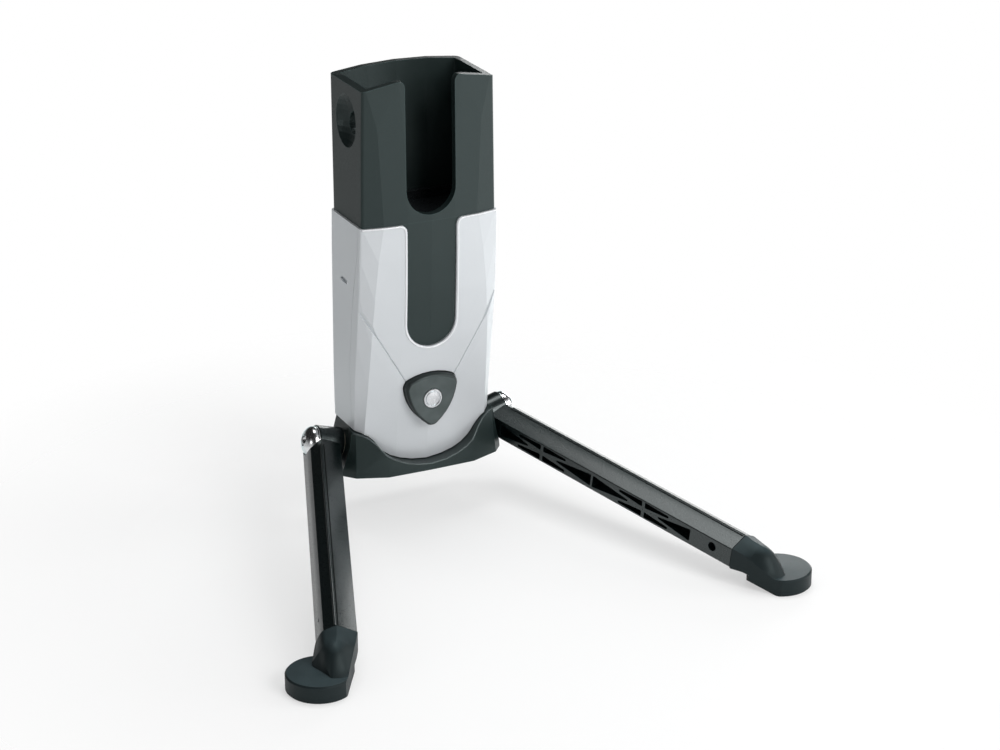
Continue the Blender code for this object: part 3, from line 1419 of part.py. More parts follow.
def main():
    clear_scene()
    root = empty("stand", (0, 0, 0))
    joints = {}
    for side, sign in (("right", 1), ("left", -1)):
        joints[side] = empty(f"{side}_hinge", (sign * HINGE.x, HINGE.y, HINGE.z), root)

    fixed = [build_cradle(), build_pad(), build_front_shell(), build_rear_shell(), build_yoke()]
    for sign, side in ((1, "right"), (-1, "left")):
        place = (sign * BASE_SCREW_OUT, BASE_SCREW_PLACE, YOKE_BOTTOM)
        fixed.append(build_screw(f"yoke_screw_{side}", place, (0, 0, -1), BASE_SCREW_LENGTH))
        for height, level in zip(SHELL_SCREW_HEIGHTS, ("lower", "upper")):
            place = (sign * SHELL_SCREW_OUT, back_at(height), height)
            fixed.append(build_screw(f"shell_screw_{level}_{side}", place, (0, 1, 0), SCREW_LENGTH))
    for piece in fixed:
        piece.parent = root

    slide = empty("button_slide", (0, 0, 0), root)
    slide.matrix_local = button_frame()
    for piece in (build_button_cap(), build_badge(), build_lock_plate(), build_spring()):
        piece.data.transform(button_frame().inverted())
        piece.parent = slide

    both_sides("leg", build_leg, joints)
    both_sides("foot", build_foot, joints)
    both_sides("hinge_bush", build_bush, joints)
    both_sides("hinge_pin", build_hinge_pin, root)
    both_sides("chrome_ring", build_chrome_ring, root)
    both_sides("thrust_washer", build_thrust_washer, root)
    both_sides("pin_nut", build_pin_nut, root)
    centre_on_floor(root)
    axis = hinge_axis()
    print("hinge axis", [round(v, 5) for v in axis], "fold", round(degrees(fold_angle()), 2))


main()
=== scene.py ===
"""Looks of the portable bike stand: its finishes, soft edges and small trim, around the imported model."""

from math import cos, pi, radians, sin

import bmesh
import bpy
from mathutils import Matrix, Vector
from mathutils.bvhtree import BVHTree


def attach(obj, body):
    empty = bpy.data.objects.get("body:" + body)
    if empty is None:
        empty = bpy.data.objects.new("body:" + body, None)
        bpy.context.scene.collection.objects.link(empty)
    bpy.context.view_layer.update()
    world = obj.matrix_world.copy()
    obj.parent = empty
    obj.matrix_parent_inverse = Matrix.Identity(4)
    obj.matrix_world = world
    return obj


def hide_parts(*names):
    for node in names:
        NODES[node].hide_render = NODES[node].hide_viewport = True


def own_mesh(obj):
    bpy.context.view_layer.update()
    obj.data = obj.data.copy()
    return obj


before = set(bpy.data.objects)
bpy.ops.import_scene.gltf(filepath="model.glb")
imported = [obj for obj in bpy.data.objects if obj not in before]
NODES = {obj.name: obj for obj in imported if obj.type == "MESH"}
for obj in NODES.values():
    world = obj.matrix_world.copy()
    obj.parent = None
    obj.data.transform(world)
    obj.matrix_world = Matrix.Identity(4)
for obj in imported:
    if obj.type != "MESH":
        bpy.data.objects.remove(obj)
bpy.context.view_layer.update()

MM = 0.001
SIDES = ("right", "left")
UP = Vector((0, 0, 1))
BACKWARD = Vector((0, 1, 0))
WHITE = (1.0, 1.0, 1.0, 1.0)

# The camera: where it stands, where it looks and its lens.
CAMERA_PLACE = Vector((-526.8, -1108.0, 597.0)) * MM
CAMERA_TURN = 0.451849
CAMERA_PITCH = 0.384307
CAMERA_ROLL = -0.002524
CAMERA_LENS = 98.303
CAMERA_SENSOR = 36.0
CAMERA_REACH = 20.0

# Softened edges: widest bevel on each kind of piece. Edges flatter than the angle stay as they are.
EDGE_SOFT = {
    "cradle": 1.0 * MM,
    "front_shell": 0.6 * MM,
    "rear_shell": 0.6 * MM,
    "yoke": 0.9 * MM,
    "button_cap": 0.6 * MM,
    "crank_rest_pad": 0.5 * MM,
    "leg": 0.55 * MM,
    "foot": 0.9 * MM,
}
SOFT_ANGLE = radians(24)
SOFT_STEPS = 3
# Before that, double points are joined and edges within flat faces are taken out.
WELD_GAP = 0.01 * MM
FLAT_ANGLE = radians(0.6)
NORMAL_WEIGHT = 100
# Faces that meet at more than this keep a crisp line between them, on the pieces with flat facets.
FACET_ANGLE = radians(5.0)
# The facets lie beside the flat of the front: past this far out, and in front of a piece's own limit.
FACET_OUT = 20.0 * MM
FACET_BACK = {"cradle": 60.0 * MM, "front_shell": 72.0 * MM, "rear_shell": 72.0 * MM}

# Light from all round. Mirrors see it brighter toward one side, and dark above the sweep: each map
# gives the cosine with a direction, then the strength, at both of its ends.
AMBIENT = (-0.15, 0.15, 0.80, 0.34)
BRIGHT_SIDE = Vector((0.99, -0.10, -0.10))
SIDE_LEVEL = (-0.45, 0.85, 0.42, 1.85)
SWEEP_LEVEL = (-0.02, 0.16, 1.0, 0.03)
# Lamps: where each stands, in metres, its size and its power. All of them look at one point.
LAMP_AIM = Vector((0.0, 0.0, 0.1))
LAMPS = {
    "key": ((0.45, -1.35, 0.95), (0.9, 0.8), 14.5),
    "right": ((1.30, -0.45, 0.70), (0.7, 0.8), 5.5),
    "left": ((-1.35, -0.25, 0.35), (0.6, 0.3), 1.4),
    "top": ((0.15, 0.30, 1.50), (0.9, 0.5), 6.5),
    "back": ((1.05, 1.10, 0.50), (0.75, 0.5), 6.5),
}
# Floor: a disc that fades out between two radii, half of it its own white.
FLOOR_RADIUS = 0.40
FLOOR_FADE = (0.18, 0.34)
FLOOR_GLOW = 0.5

# Tint of every sheen, which makes it a little cool.
SHEEN_TINT = (0.84, 1.0, 1.0, 1.0)
# The stretch of a noise pattern that is mapped onto a whole range.
NOISE_MIDDLE = (0.3, 0.7)
# Cosine between the rounded and the true normal, at the middle of an edge and on a face.
EDGE_COSINES = (0.80, 0.995)
EDGE_SAMPLES = 4

# Line of the right leg from the hinge, its pin, and how far beyond the line's end the foot begins.
HINGE = Vector((49.4, 85.25, 41.8)) * MM
LEG_END = Vector((107.2, -70.65, 17.9)) * MM
LEG_SEAM = 2.75 * MM
PIN = Vector((0.96401, 0.03264, 0.26387))
# Trim is laid on a surface by lines cast at it from this far off.
CAST_FROM = 30.0 * MM
# Trim along the leg: radius, place outward and up in the leg's frame, and the way it is cast.
LEG_TRIM = {
    "ridge": (0.55 * MM, (0.5 * MM, CAST_FROM), Vector((0, 0, -1))),
    "ridge_line": (0.40 * MM, (-0.9 * MM, CAST_FROM), Vector((0, 0, -1))),
    "eave_line": (0.30 * MM, (-CAST_FROM, 1.5 * MM), Vector((0, 1, 0))),
}
LEG_TRIM_START = 12.0 * MM
LEG_TRIM_GAP = 1.0 * MM
LEG_TRIM_STEPS = 40
LEG_TRIM_SINK = 0.12 * MM
# Seam of the foot: a ring round the leg, a little in front of the edge and proud of the surface.
SEAM_RADIUS = 0.3 * MM
SEAM_CENTRE = -1.2 * MM
SEAM_INSET = 0.15 * MM
SEAM_PROUD = 0.02 * MM
SEAM_POINTS = 56

# Lines on the front start in front of it, and have a point at least every step.
FRONT_START = -0.3
FRONT_STEP = 0.8 * MM
# Raised rim along the opening and the top of the silver front, seen from the front.
RIM_RADIUS = 0.50 * MM
RIM_HALF_WIDTH = 14.15 * MM
RIM_CENTRE = 109.7 * MM
RIM_LIP = 3.25 * MM
RIM_LIP_PLACE = (17.4 * MM, 159.4 * MM)
RIM_END = 36.3 * MM
RIM_SINK = 0.02 * MM
RIM_STEPS = 16
# Lip along the upper edge of the yoke's front, in millimetres as half width and height.
LIP_RADIUS = 0.45 * MM
LIP_SINK = 0.15 * MM
LIP_LINE = (
    (0.0, 31.2), (8.0, 32.0), (14.5, 33.8), (20.0, 36.3), (24.0, 39.2), (26.4, 42.1), (28.8, 45.3),
    (31.7, 48.2), (34.8, 50.1), (38.0, 51.1), (40.8, 51.5), (42.3, 50.5), (43.0, 48.6), (43.4, 46.4),
)
# Way that the button's face looks; inward is the opposite way.
BUTTON_FACE = Vector((0, -0.99027, -0.13917))
# Chrome cap on the head of a hinge pin: its skirt, its dome, and the socket in its middle.
CAP_BASE = 5.0 * MM
CAP_RADIUS = 7.74 * MM
CAP_HEIGHT = 5.24 * MM
CAP_SKIRT = 0.5 * MM
CAP_DOME = radians(69)
CAP_RECESS = 2.86 * MM
CAP_RECESS_DEPTH = 2.9 * MM
# The socket's mouth, as distance out from its radius and down from the dome's edge.
CAP_MOUTH = ((0.05 * MM, 0.02 * MM), (-0.05 * MM, 0.30 * MM))
CAP_DRAFT = 0.10 * MM
CAP_FLOOR = (0.1 * MM, 0.4 * MM)
CAP_STEPS = 24
CAP_SIDES = 96


class Wiring:
    """Puts nodes into a node tree and joins them up."""

    def __init__(self, tree):
        self.tree = tree

    def feed(self, socket, value):
        """Gives an input a value, or links another node's output to it."""
        if isinstance(value, bpy.types.NodeSocket):
            self.tree.links.new(value, socket)
        else:
            socket.default_value = value

    def node(self, kind, settings=(), **inputs):
        """A node whose inputs are values or other nodes' outputs."""
        made = self.tree.nodes.new(kind)
        for key, value in dict(settings).items():
            setattr(made, key, value)
        for key, value in inputs.items():
            self.feed(made.inputs[key.replace("_", " ")], value)
        return made

    def maths(self, operation, *values):
        """The result of one calculation."""
        made = self.node("ShaderNodeMath", {"operation": operation})
        for socket, value in zip(made.inputs, values):
            self.feed(socket, value)
        return made.outputs["Value"]

    def cosine(self, way, toward):
        """The cosine between two directions."""
        made = self.node("ShaderNodeVectorMath", {"operation": "DOT_PRODUCT"})
        self.feed(made.inputs[0], way)
        self.feed(made.inputs[1], toward)
        return made.outputs["Value"]

    def mapped(self, value, first, last, low, high, curve="LINEAR"):
        """Maps a value between first and last onto low to high, and holds it there beyond them."""
        made = self.node(
            "ShaderNodeMapRange", {"interpolation_type": curve}, Value=value,
            From_Min=first, From_Max=last, To_Min=low, To_Max=high,
        )
        return made.outputs["Result"]

    def mixed(self, share, first, second):
        """One shader with a share of a second."""
        made = self.node("ShaderNodeMixShader", Fac=share)
        self.feed(made.inputs[1], first)
        self.feed(made.inputs[2], second)
        return made.outputs["Shader"]


class Surface(Wiring):
    """A material with a Principled shader, and the nodes that feed it."""

    def __init__(self, name, colour, roughness, metallic=0.0, **constants):
        self.material = bpy.data.materials.new(name)
        self.material.use_nodes = True
        super().__init__(self.material.node_tree)
        self.shader = self.tree.nodes["Principled BSDF"]
        self.colour = (*colour, 1.0)
        self.shader.inputs["Base Color"].default_value = self.colour
        self.shader.inputs["Roughness"].default_value = roughness
        self.shader.inputs["Metallic"].default_value = metallic
        self.shader.inputs["Specular Tint"].default_value = SHEEN_TINT
        for socket, value in constants.items():
            self.shader.inputs[socket.replace("_", " ")].default_value = value
        self.place = self.node("ShaderNodeTexCoord").outputs["Object"]

    def noise(self, size, detail=2.0, stretch=None):
        """Noise whose grains measure about size, drawn out where stretch says so."""
        where = self.place
        if stretch:
            where = self.node("ShaderNodeMapping", Vector=where, Scale=stretch).outputs["Vector"]
        made = self.node("ShaderNodeTexNoise", Vector=where, Scale=1.0 / size, Detail=detail)
        return made.outputs["Fac"]

    def edges(self, width):
        """Near one on the edges of the shape, and zero on its faces; the finishes use it to paint
        highlights on edges.
        """
        rounded = self.node("ShaderNodeBevel", {"samples": EDGE_SAMPLES}, Radius=width)
        true = self.node("ShaderNodeNewGeometry")
        turned = self.cosine(rounded.outputs["Normal"], true.outputs["Normal"])
        return self.mapped(turned, *EDGE_COSINES, 1.0, 0.0)

    def facing(self, way, first, last):
        """One where the surface looks that way. It fades as the cosine falls from last to first."""
        normal = self.node("ShaderNodeNewGeometry").outputs["Normal"]
        return self.mapped(self.cosine(normal, way), first, last, 0.0, 1.0)

    def tint(self, factor, share, lighter):
        """Mixes a lighter or darker shade of the colour in, up to share."""
        shade = tuple(min(channel * lighter, 1.0) for channel in self.colour[:3]) + (1.0,)
        mix = self.node("ShaderNodeMix", {"data_type": "RGBA"})
        self.feed(mix.inputs["Factor"], self.maths("MULTIPLY", factor, share))
        base = self.shader.inputs["Base Color"]
        self.feed(mix.inputs[6], base.links[0].from_socket if base.is_linked else self.colour)
        self.feed(mix.inputs[7], shade)
        self.feed(base, mix.outputs[2])

    def mottle(self, pattern, share, lighter, stretch=NOISE_MIDDLE):
        """Mixes the other shade in where the pattern is strong."""
        self.tint(self.mapped(pattern, *stretch, 0.0, 1.0), share, lighter)

    def roughen(self, low, high, pattern):
        """Lets the roughness follow the pattern."""
        rough = self.mapped(pattern, *NOISE_MIDDLE, low, high)
        self.feed(self.shader.inputs["Roughness"], rough)

    def bump(self, pattern, height, strength=1.0):
        """Adds relief that follows the pattern, on top of any relief there is."""
        made = self.node("ShaderNodeBump", Height=pattern, Strength=strength, Distance=height)
        normal = self.shader.inputs["Normal"]
        if normal.is_linked:
            self.feed(made.inputs["Normal"], normal.links[0].from_socket)
        self.feed(normal, made.outputs["Normal"])


def satin_black():
    """Glass-filled nylon, moulded in a lightly sparked tool."""
    made = Surface("satin_black", (0.0065, 0.0125, 0.0122), 0.40)
    grain = made.noise(0.45 * MM, 3.0)
    made.mottle(made.noise(28 * MM), share=0.5, lighter=0.78)
    made.mottle(grain, share=0.35, lighter=1.25)
    # Painted highlight: the edges are coloured much lighter.
    made.tint(made.edges(0.7 * MM), share=0.6, lighter=6.0)
    made.roughen(0.32, 0.50, grain)
    made.bump(grain, 0.06 * MM, 0.55)
    made.bump(made.noise(9 * MM), 0.10 * MM, 0.12)
    return made.material


def painted_highlight_black():
    """The same nylon, coloured pale along its lip as a painted highlight."""
    made = Surface("painted_highlight_black", (0.070, 0.084, 0.084), 0.22)
    grain = made.noise(0.45 * MM, 3.0)
    made.mottle(made.noise(6 * MM), share=0.6, lighter=0.55)
    made.roughen(0.16, 0.30, grain)
    made.bump(grain, 0.02 * MM, 0.20)
    return made.material


def silver_paint(name, colour):
    """Silver paint with fine flake under a thin clear coat."""
    made = Surface(name, colour, 0.36, 0.20, Coat_Weight=0.25, Coat_Roughness=0.12)
    flake = made.noise(0.16 * MM)
    made.mottle(made.noise(40 * MM), share=0.35, lighter=0.93)
    made.mottle(flake, share=0.25, lighter=1.12)
    # Painted highlight: the edges are coloured a little lighter.
    made.tint(made.edges(0.5 * MM), share=0.35, lighter=1.25)
    made.roughen(0.30, 0.44, flake)
    made.bump(flake, 0.012 * MM, 0.30)
    made.bump(made.noise(3.0 * MM), 0.02 * MM, 0.10)
    return made.material


def leg_black():
    """Black coated alloy with a fine cast grain."""
    made = Surface(
        "leg_black", (0.0018, 0.0040, 0.0043), 0.28, Coat_Weight=0.5, Coat_Roughness=0.16
    )
    grain = made.noise(0.5 * MM, 4.0)
    made.mottle(made.noise(6 * MM), share=0.5, lighter=0.75)
    made.mottle(grain, share=0.5, lighter=1.5, stretch=(0.45, 0.65))
    # Painted highlight: the edges are coloured much lighter.
    made.tint(made.edges(0.6 * MM), share=0.7, lighter=6.0)
    made.roughen(0.24, 0.38, grain)
    made.bump(grain, 0.06 * MM, 0.45)
    return made.material


def foot_rubber():
    """Smooth slate rubber, matt with a soft sheen; its top is coloured paler as painted light from above.
    """
    made = Surface("foot_rubber", (0.0105, 0.0155, 0.0170), 0.44, Specular_IOR_Level=0.22)
    # Painted light: faces that look up are coloured paler than the sides.
    made.tint(made.facing(UP, 0.70, 0.97), share=1.0, lighter=3.8)
    grain = made.noise(0.3 * MM)
    made.mottle(made.noise(12 * MM, 3.0), share=0.4, lighter=0.82)
    # Painted highlight: the edges are coloured a little lighter.
    made.tint(made.edges(0.9 * MM), share=0.35, lighter=1.5)
    made.roughen(0.38, 0.50, grain)
    made.bump(grain, 0.03 * MM, 0.20)
    return made.material


def pad_rubber():
    """Glossier black rubber, for the rest in the pocket."""
    made = Surface("pad_rubber", (0.006, 0.007, 0.008), 0.30)
    grain = made.noise(0.4 * MM, 3.0)
    made.mottle(grain, share=0.4, lighter=1.4)
    made.roughen(0.18, 0.36, grain)
    made.bump(grain, 0.04 * MM, 0.3)
    return made.material


def button_plastic():
    """Silky moulded plastic. Painted light: the button's face is coloured several shades lighter than its
    shaded sides.
    """
    made = Surface("button_plastic", (0.0108, 0.0128, 0.0128), 0.42)
    # Painted light: the face that looks out is coloured lighter than the sides.
    made.tint(made.facing(BUTTON_FACE, 0.88, 0.965), share=1.0, lighter=6.6)
    grain = made.noise(0.35 * MM)
    made.mottle(made.noise(7 * MM), share=0.35, lighter=0.8)
    # Painted highlight: the edges are coloured a little lighter.
    made.tint(made.edges(0.6 * MM), share=0.35, lighter=1.6)
    made.roughen(0.36, 0.50, grain)
    made.bump(grain, 0.04 * MM, 0.25)
    return made.material


def bright_metal(name, colour, roughness, scratch):
    """Polished or brushed metal with fine random hairlines."""
    made = Surface(name, colour, roughness, 1.0)
    hair = made.noise(0.25 * MM, stretch=(1.0, 1.0, 0.15))
    made.mottle(made.noise(3 * MM), share=0.3, lighter=0.88)
    made.roughen(roughness * 0.7, roughness * 1.5, hair)
    made.bump(hair, 0.01 * MM, scratch)
    return made.material


def painted_shade_line():
    """Painted shade: a dark colour for the shaded bottom of a narrow line in the moulding, laid on as a
    thin bead.
    """
    made = Surface("painted_shade_line", (0.004, 0.005, 0.005), 0.7, Specular_IOR_Level=0.2)
    grain = made.noise(0.4 * MM)
    made.mottle(grain, share=0.4, lighter=1.6)
    made.roughen(0.6, 0.8, grain)
    made.bump(grain, 0.02 * MM, 0.2)
    return made.material


def bearing_nylon():
    """Plain natural nylon, for the bushes and washers."""
    made = Surface("bearing_nylon", (0.56, 0.53, 0.46), 0.5)
    grain = made.noise(0.6 * MM)
    made.mottle(grain, share=0.3, lighter=0.9)
    made.roughen(0.42, 0.58, grain)
    made.bump(grain, 0.03 * MM, 0.2)
    return made.material


def dress(name, surface):
    """Gives a node its finish."""
    NODES[name].data.materials.clear()
    NODES[name].data.materials.append(surface)


def facet_lines(back):
    """Geometry nodes that keep the line crisp where two faces meet at a small angle."""
    group = bpy.data.node_groups.new("facet_lines", "GeometryNodeTree")
    for way in ("INPUT", "OUTPUT"):
        group.interface.new_socket("Geometry", in_out=way, socket_type="NodeSocketGeometry")
    wires = Wiring(group)
    start = wires.node("NodeGroupInput")
    end = wires.node("NodeGroupOutput")
    angle = wires.node("GeometryNodeInputMeshEdgeAngle").outputs["Unsigned Angle"]
    position = wires.node("GeometryNodeInputPosition").outputs["Position"]
    place = wires.node("ShaderNodeSeparateXYZ", Vector=position).outputs
    tests = (
        (angle, "GREATER_THAN", FACET_ANGLE),
        (angle, "LESS_THAN", SOFT_ANGLE),
        (wires.maths("ABSOLUTE", place["X"]), "GREATER_THAN", FACET_OUT),
        (place["Y"], "LESS_THAN", back),
    )
    picked = 1.0
    for value, operation, limit in tests:
        picked = wires.maths("MULTIPLY", picked, wires.maths(operation, value, limit))
    shade = wires.node(
        "GeometryNodeSetShadeSmooth", {"domain": "EDGE"},
        Geometry=start.outputs["Geometry"], Selection=picked, Shade_Smooth=False,
    )
    wires.feed(end.inputs["Geometry"], shade.outputs["Geometry"])
    return group


def soften(name, width):
    """Rounds the edges of a moulding without touching the mesh below."""
    node = NODES[name]
    weld = node.modifiers.new("weld", "WELD")
    weld.merge_threshold = WELD_GAP
    flat = node.modifiers.new("flat", "DECIMATE")
    flat.decimate_type = "DISSOLVE"
    flat.angle_limit = FLAT_ANGLE
    if name in FACET_BACK:
        node.modifiers.new("facets", "NODES").node_group = facet_lines(FACET_BACK[name])
    bevel = node.modifiers.new("bevel", "BEVEL")
    bevel.width = width
    bevel.segments = SOFT_STEPS
    bevel.limit_method = "ANGLE"
    bevel.angle_limit = SOFT_ANGLE
    bevel.use_clamp_overlap = True
    normals = node.modifiers.new("normals", "WEIGHTED_NORMAL")
    normals.weight = NORMAL_WEIGHT
    normals.keep_sharp = name in FACET_BACK


def dress_all():
    """Adds the trim, gives every node its finish, and softens the mouldings."""
    black = satin_black()
    silver = silver_paint("silver_paint", (0.60, 0.622, 0.645))
    leg = leg_black()
    foot = foot_rubber()
    chrome = bright_metal("chrome", (0.82, 0.83, 0.84), 0.20, 0.10)
    steel = bright_metal("steel", (0.48, 0.48, 0.49), 0.30, 0.30)
    satin = bright_metal("badge_satin", (0.66, 0.67, 0.69), 0.28, 0.25)
    nylon = bearing_nylon()
    # The rim's finish is a paler copy of the silver paint: a painted highlight along the rim.
    add_rim(silver_paint("silver_rim_painted_highlight", (0.80, 0.81, 0.83)))
    add_lip(painted_highlight_black())
    add_leg_lines(leg, painted_shade_line())
    add_caps(chrome)
    add_spring(steel)
    by_name = {
        "cradle": black,
        "yoke": black,
        "front_shell": silver,
        "rear_shell": silver,
        "button_cap": button_plastic(),
        "crank_rest_pad": pad_rubber(),
    }
    for side in SIDES:
        by_name[f"{side}_leg"] = leg
        by_name[f"{side}_foot"] = foot
    by_word = {"badge": satin, "chrome": chrome, "pin": chrome, "bush": nylon, "washer": nylon}
    for name in NODES:
        small = next((surface for word, surface in by_word.items() if word in name), steel)
        dress(name, by_name.get(name, small))
    for kind, width in EDGE_SOFT.items():
        for name in (kind, *(f"{side}_{kind}" for side in SIDES)):
            if name in NODES:
                soften(name, width)


def placed(name, data):
    """A new object in the scene."""
    made = bpy.data.objects.new(name, data)
    bpy.context.scene.collection.objects.link(made)
    return made


def tree_of(name):
    """The surface of a node, for finding places on it."""
    bm = bmesh.new()
    bm.from_mesh(NODES[name].data)
    tree = BVHTree.FromBMesh(bm)
    bm.free()
    return tree


def traced(tree, origins, direction, sink):
    """Where lines from the origins first meet the surface, sunk a little into it."""
    direction = direction.normalized()
    hits = [tree.ray_cast(origin, direction)[0] for origin in origins]
    return [hit + direction * sink for hit in hits if hit]


def mirrored(points):
    """The points on the other side of the stand."""
    return [Vector((-point.x, point.y, point.z)) for point in points]


def finely(line, step):
    """The line again, with a point at least every step."""
    points = [line[0]]
    for start, end in zip(line, line[1:]):
        parts = max(1, round((end - start).length / step))
        points += [start.lerp(end, (k + 1) / parts) for k in range(parts)]
    return points


def bead(name, points, radius, body, surface, closed=False):
    """A round bead along the points."""
    curve = bpy.data.curves.new(name, "CURVE")
    curve.dimensions = "3D"
    curve.bevel_depth = radius
    curve.bevel_resolution = 3
    curve.use_fill_caps = True
    line = curve.splines.new("POLY")
    line.points.add(len(points) - 1)
    line.use_cyclic_u = closed
    for place, point in zip(line.points, points):
        place.co = (*point, 1.0)
    curve.materials.append(surface)
    piece = placed(name, curve)
    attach(piece, body)


def leg_beads(part, points, radius, surface, closed=False):
    """A bead on the right leg, and its mirror image on the left one."""
    for side, line in (("right", points), ("left", mirrored(points))):
        bead(f"{side}_{part}", line, radius, f"{side}_leg", surface, closed)


def front_line(name, half, sink):
    """A symmetric line on the front of a node, from its right half as (x, z), middle first."""
    right = [Vector((x, FRONT_START, z)) for x, z in half]
    whole = finely(mirrored(right[:0:-1]) + right, FRONT_STEP)
    return traced(tree_of(name), whole, BACKWARD, sink)


def add_rim(surface):
    """The raised rim round the opening of the silver front, and along its top."""
    quarter = [pi / 2 * k / RIM_STEPS for k in range(RIM_STEPS + 1)]
    half = [(RIM_HALF_WIDTH * sin(a), RIM_CENTRE - RIM_HALF_WIDTH * cos(a)) for a in quarter]
    x, z = RIM_LIP_PLACE
    half += [(x - RIM_LIP * cos(a), z + RIM_LIP * sin(a)) for a in quarter[::2]]
    half.append((RIM_END, z + RIM_LIP))
    points = front_line("front_shell", half, RIM_SINK)
    bead("front_rim", points, RIM_RADIUS, "body", surface)


def add_lip(surface):
    """The lip along the upper edge of the yoke, coloured pale as a painted highlight."""
    half = [(x * MM, z * MM) for x, z in LIP_LINE]
    points = front_line("yoke", half, LIP_SINK)
    bead("yoke_lip", points, LIP_RADIUS, "body", surface)


def leg_axes():
    """Local X runs along the right leg, Y outward and Z up to the ridge, from the hinge."""
    along = (LEG_END - HINGE).normalized()
    outward = Vector((-along.y, along.x, 0)).normalized()
    axes = Matrix((along, outward, along.cross(outward))).transposed().to_4x4()
    return Matrix.Translation(HINGE) @ axes


def add_leg_lines(leg, dark):
    """Ridge bead; dark beads of painted shade beside it and under the eave; and a dark ring of painted
    shade at the seam where the foot begins.
    """
    axes = leg_axes()
    turn = axes.to_3x3()
    tree = tree_of("right_leg")
    foot = (LEG_END - HINGE).length + LEG_SEAM
    run = foot - LEG_TRIM_GAP - LEG_TRIM_START
    stations = [LEG_TRIM_START + run * k / LEG_TRIM_STEPS for k in range(LEG_TRIM_STEPS + 1)]
    for part, (radius, (out, up), way) in LEG_TRIM.items():
        origins = [axes @ Vector((x, out, up)) for x in stations]
        points = traced(tree, origins, turn @ way, LEG_TRIM_SINK)
        # The lines beside the ridge and under the eave are painted shade; the ridge bead is the leg's own
        # black.
        leg_beads(f"leg_{part}", points, radius, leg if part == "ridge" else dark)
    seam = []
    for k in range(SEAM_POINTS):
        angle = 2 * pi * k / SEAM_POINTS
        ray = Vector((0, cos(angle), sin(angle)))
        origin = axes @ (Vector((foot - LEG_SEAM / 2, 0, SEAM_CENTRE)) + ray * CAST_FROM)
        seam += traced(tree, [origin], turn @ -ray, -SEAM_PROUD)
    shift = turn @ Vector((LEG_SEAM / 2 - SEAM_INSET, 0, 0))
    seam = [point + shift for point in seam]
    # The seam ring is painted shade too.
    leg_beads("foot_seam", seam, SEAM_RADIUS, dark, closed=True)


def cap_profile():
    """The cap as (radius, height), from its base over the dome and down into the socket."""
    profile = [(CAP_RADIUS, CAP_BASE)]
    for k in range(CAP_STEPS + 1):
        angle = CAP_DOME * k / CAP_STEPS
        rise = CAP_SKIRT + (CAP_HEIGHT - CAP_SKIRT) * sin(angle)
        profile.append((CAP_RADIUS * cos(angle), CAP_BASE + rise))
    edge = profile[-1][1]
    floor = CAP_BASE + CAP_HEIGHT - CAP_RECESS_DEPTH
    radius, cone = CAP_FLOOR
    profile += [(CAP_RECESS + out, edge - down) for out, down in CAP_MOUTH]
    profile += [(CAP_RECESS - CAP_DRAFT, floor), (radius, floor - cone)]
    return profile


def add_caps(surface):
    """Domed chrome caps with a deep round socket, over the heads of the pins."""
    turn = PIN.to_track_quat("Z", "Y").to_matrix()
    profile = cap_profile()
    spots, faces = [], []
    for radius, height in profile:
        for k in range(CAP_SIDES):
            angle = 2 * pi * k / CAP_SIDES
            spots.append(HINGE + turn @ Vector((radius * cos(angle), radius * sin(angle), height)))
    for row in range(len(profile) - 1):
        for k in range(CAP_SIDES):
            a, b = row * CAP_SIDES + k, row * CAP_SIDES + (k + 1) % CAP_SIDES
            faces.append((a, b, b + CAP_SIDES, a + CAP_SIDES))
    turned_over = [face[::-1] for face in faces]
    for side, places, order in (("right", spots, faces), ("left", mirrored(spots), turned_over)):
        mesh = bpy.data.meshes.new(f"{side}_pin_cap")
        mesh.from_pydata([tuple(place) for place in places], [], order)
        mesh.shade_smooth()
        mesh.materials.append(surface)
        piece = placed(f"{side}_pin_cap", mesh)
        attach(piece, "body")


def add_spring(surface):
    """The button's return spring: a steel copy of the spring node, riding on the body, while the node
    itself is hidden.
    """
    mesh = NODES["button_spring"].data.copy()
    mesh.materials.clear()
    mesh.materials.append(surface)
    spring = placed("return_spring", mesh)
    inward = -BUTTON_FACE
    seat = max((vertex.co for vertex in mesh.vertices), key=inward.dot).copy()
    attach(spring, "body")
    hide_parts("button_spring")
    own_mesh(spring)


def make_camera():
    """Puts up the camera, turned from straight back and pitched down."""
    lens = bpy.data.cameras.new("camera")
    lens.lens = CAMERA_LENS
    lens.sensor_width = CAMERA_SENSOR
    lens.clip_end = CAMERA_REACH
    camera = placed("camera", lens)
    level = Vector((sin(CAMERA_TURN), cos(CAMERA_TURN), 0))
    forward = level * cos(CAMERA_PITCH) - UP * sin(CAMERA_PITCH)
    right = Vector((cos(CAMERA_TURN), -sin(CAMERA_TURN), 0))
    turn = Matrix((right, right.cross(forward), -forward)).transposed().to_4x4()
    roll = Matrix.Rotation(CAMERA_ROLL, 4, "Z")
    camera.matrix_world = Matrix.Translation(CAMERA_PLACE) @ turn @ roll
    bpy.context.scene.camera = camera


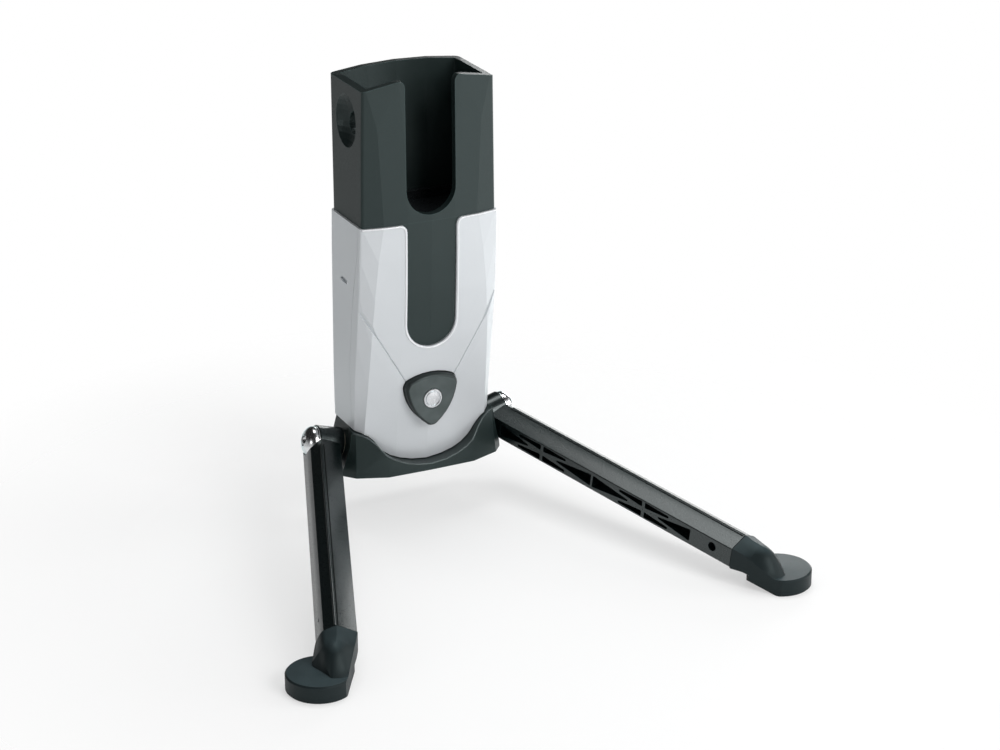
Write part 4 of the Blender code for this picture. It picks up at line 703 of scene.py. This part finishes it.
def make_world():
    """Soft light from all round, with a white sweep below; the background itself is white."""
    world = bpy.data.worlds.new("world")
    bpy.context.scene.world = world
    world.use_nodes = True
    wires = Wiring(world.node_tree)
    way = wires.node("ShaderNodeTexCoord").outputs["Generated"]

    def graded(toward, ends):
        return wires.mapped(wires.cosine(way, toward), *ends, curve="SMOOTHSTEP")

    def light(strength):
        made = wires.node("ShaderNodeBackground", Color=WHITE, Strength=strength)
        return made.outputs["Background"]

    sweep = wires.maths("MULTIPLY", graded(BRIGHT_SIDE, SIDE_LEVEL), graded(UP, SWEEP_LEVEL))
    ray = wires.node("ShaderNodeLightPath").outputs
    in_gloss = wires.maths("MAXIMUM", ray["Is Glossy Ray"], ray["Is Transmission Ray"])
    lit = wires.mixed(in_gloss, light(graded(UP, AMBIENT)), light(sweep))
    shown = wires.mixed(ray["Is Camera Ray"], lit, light(1.0))
    wires.feed(world.node_tree.nodes["World Output"].inputs["Surface"], shown)


def add_lamps():
    """Large soft lamps round the stand."""
    for name, (place, size, watts) in LAMPS.items():
        lamp = bpy.data.lights.new(name, "AREA")
        lamp.shape = "RECTANGLE"
        lamp.size, lamp.size_y = size
        lamp.energy = watts
        lit = placed(name, lamp)
        lit.location = place
        lit.rotation_euler = (LAMP_AIM - Vector(place)).to_track_quat("-Z", "Y").to_euler()


def add_floor():
    """A pale round floor that keeps a soft shadow, and fades out into the background."""
    bm = bmesh.new()
    bmesh.ops.create_circle(bm, cap_ends=True, segments=96, radius=FLOOR_RADIUS)
    mesh = bpy.data.meshes.new("floor")
    bm.to_mesh(mesh)
    bm.free()
    floor = placed("floor", mesh)
    pale = Surface("pale_floor", (0.93, 0.93, 0.93), 0.8)
    glow = pale.node("ShaderNodeEmission", Color=WHITE, Strength=1.0)
    seen = pale.node("ShaderNodeLightPath").outputs["Is Camera Ray"]
    share = pale.maths("MULTIPLY", seen, FLOOR_GLOW)
    solid = pale.mixed(share, pale.shader.outputs["BSDF"], glow.outputs["Emission"])
    reach = pale.node("ShaderNodeVectorMath", {"operation": "LENGTH"})
    pale.feed(reach.inputs[0], pale.place)
    there = pale.mapped(reach.outputs["Value"], *FLOOR_FADE, 1.0, 0.0)
    clear = pale.node("ShaderNodeBsdfTransparent").outputs["BSDF"]
    whole = pale.mixed(there, clear, solid)
    pale.feed(pale.tree.nodes["Material Output"].inputs["Surface"], whole)
    mesh.materials.append(pale.material)


make_camera()
make_world()
add_lamps()
add_floor()
dress_all()
bpy.context.scene.view_settings.view_transform = "Standard"
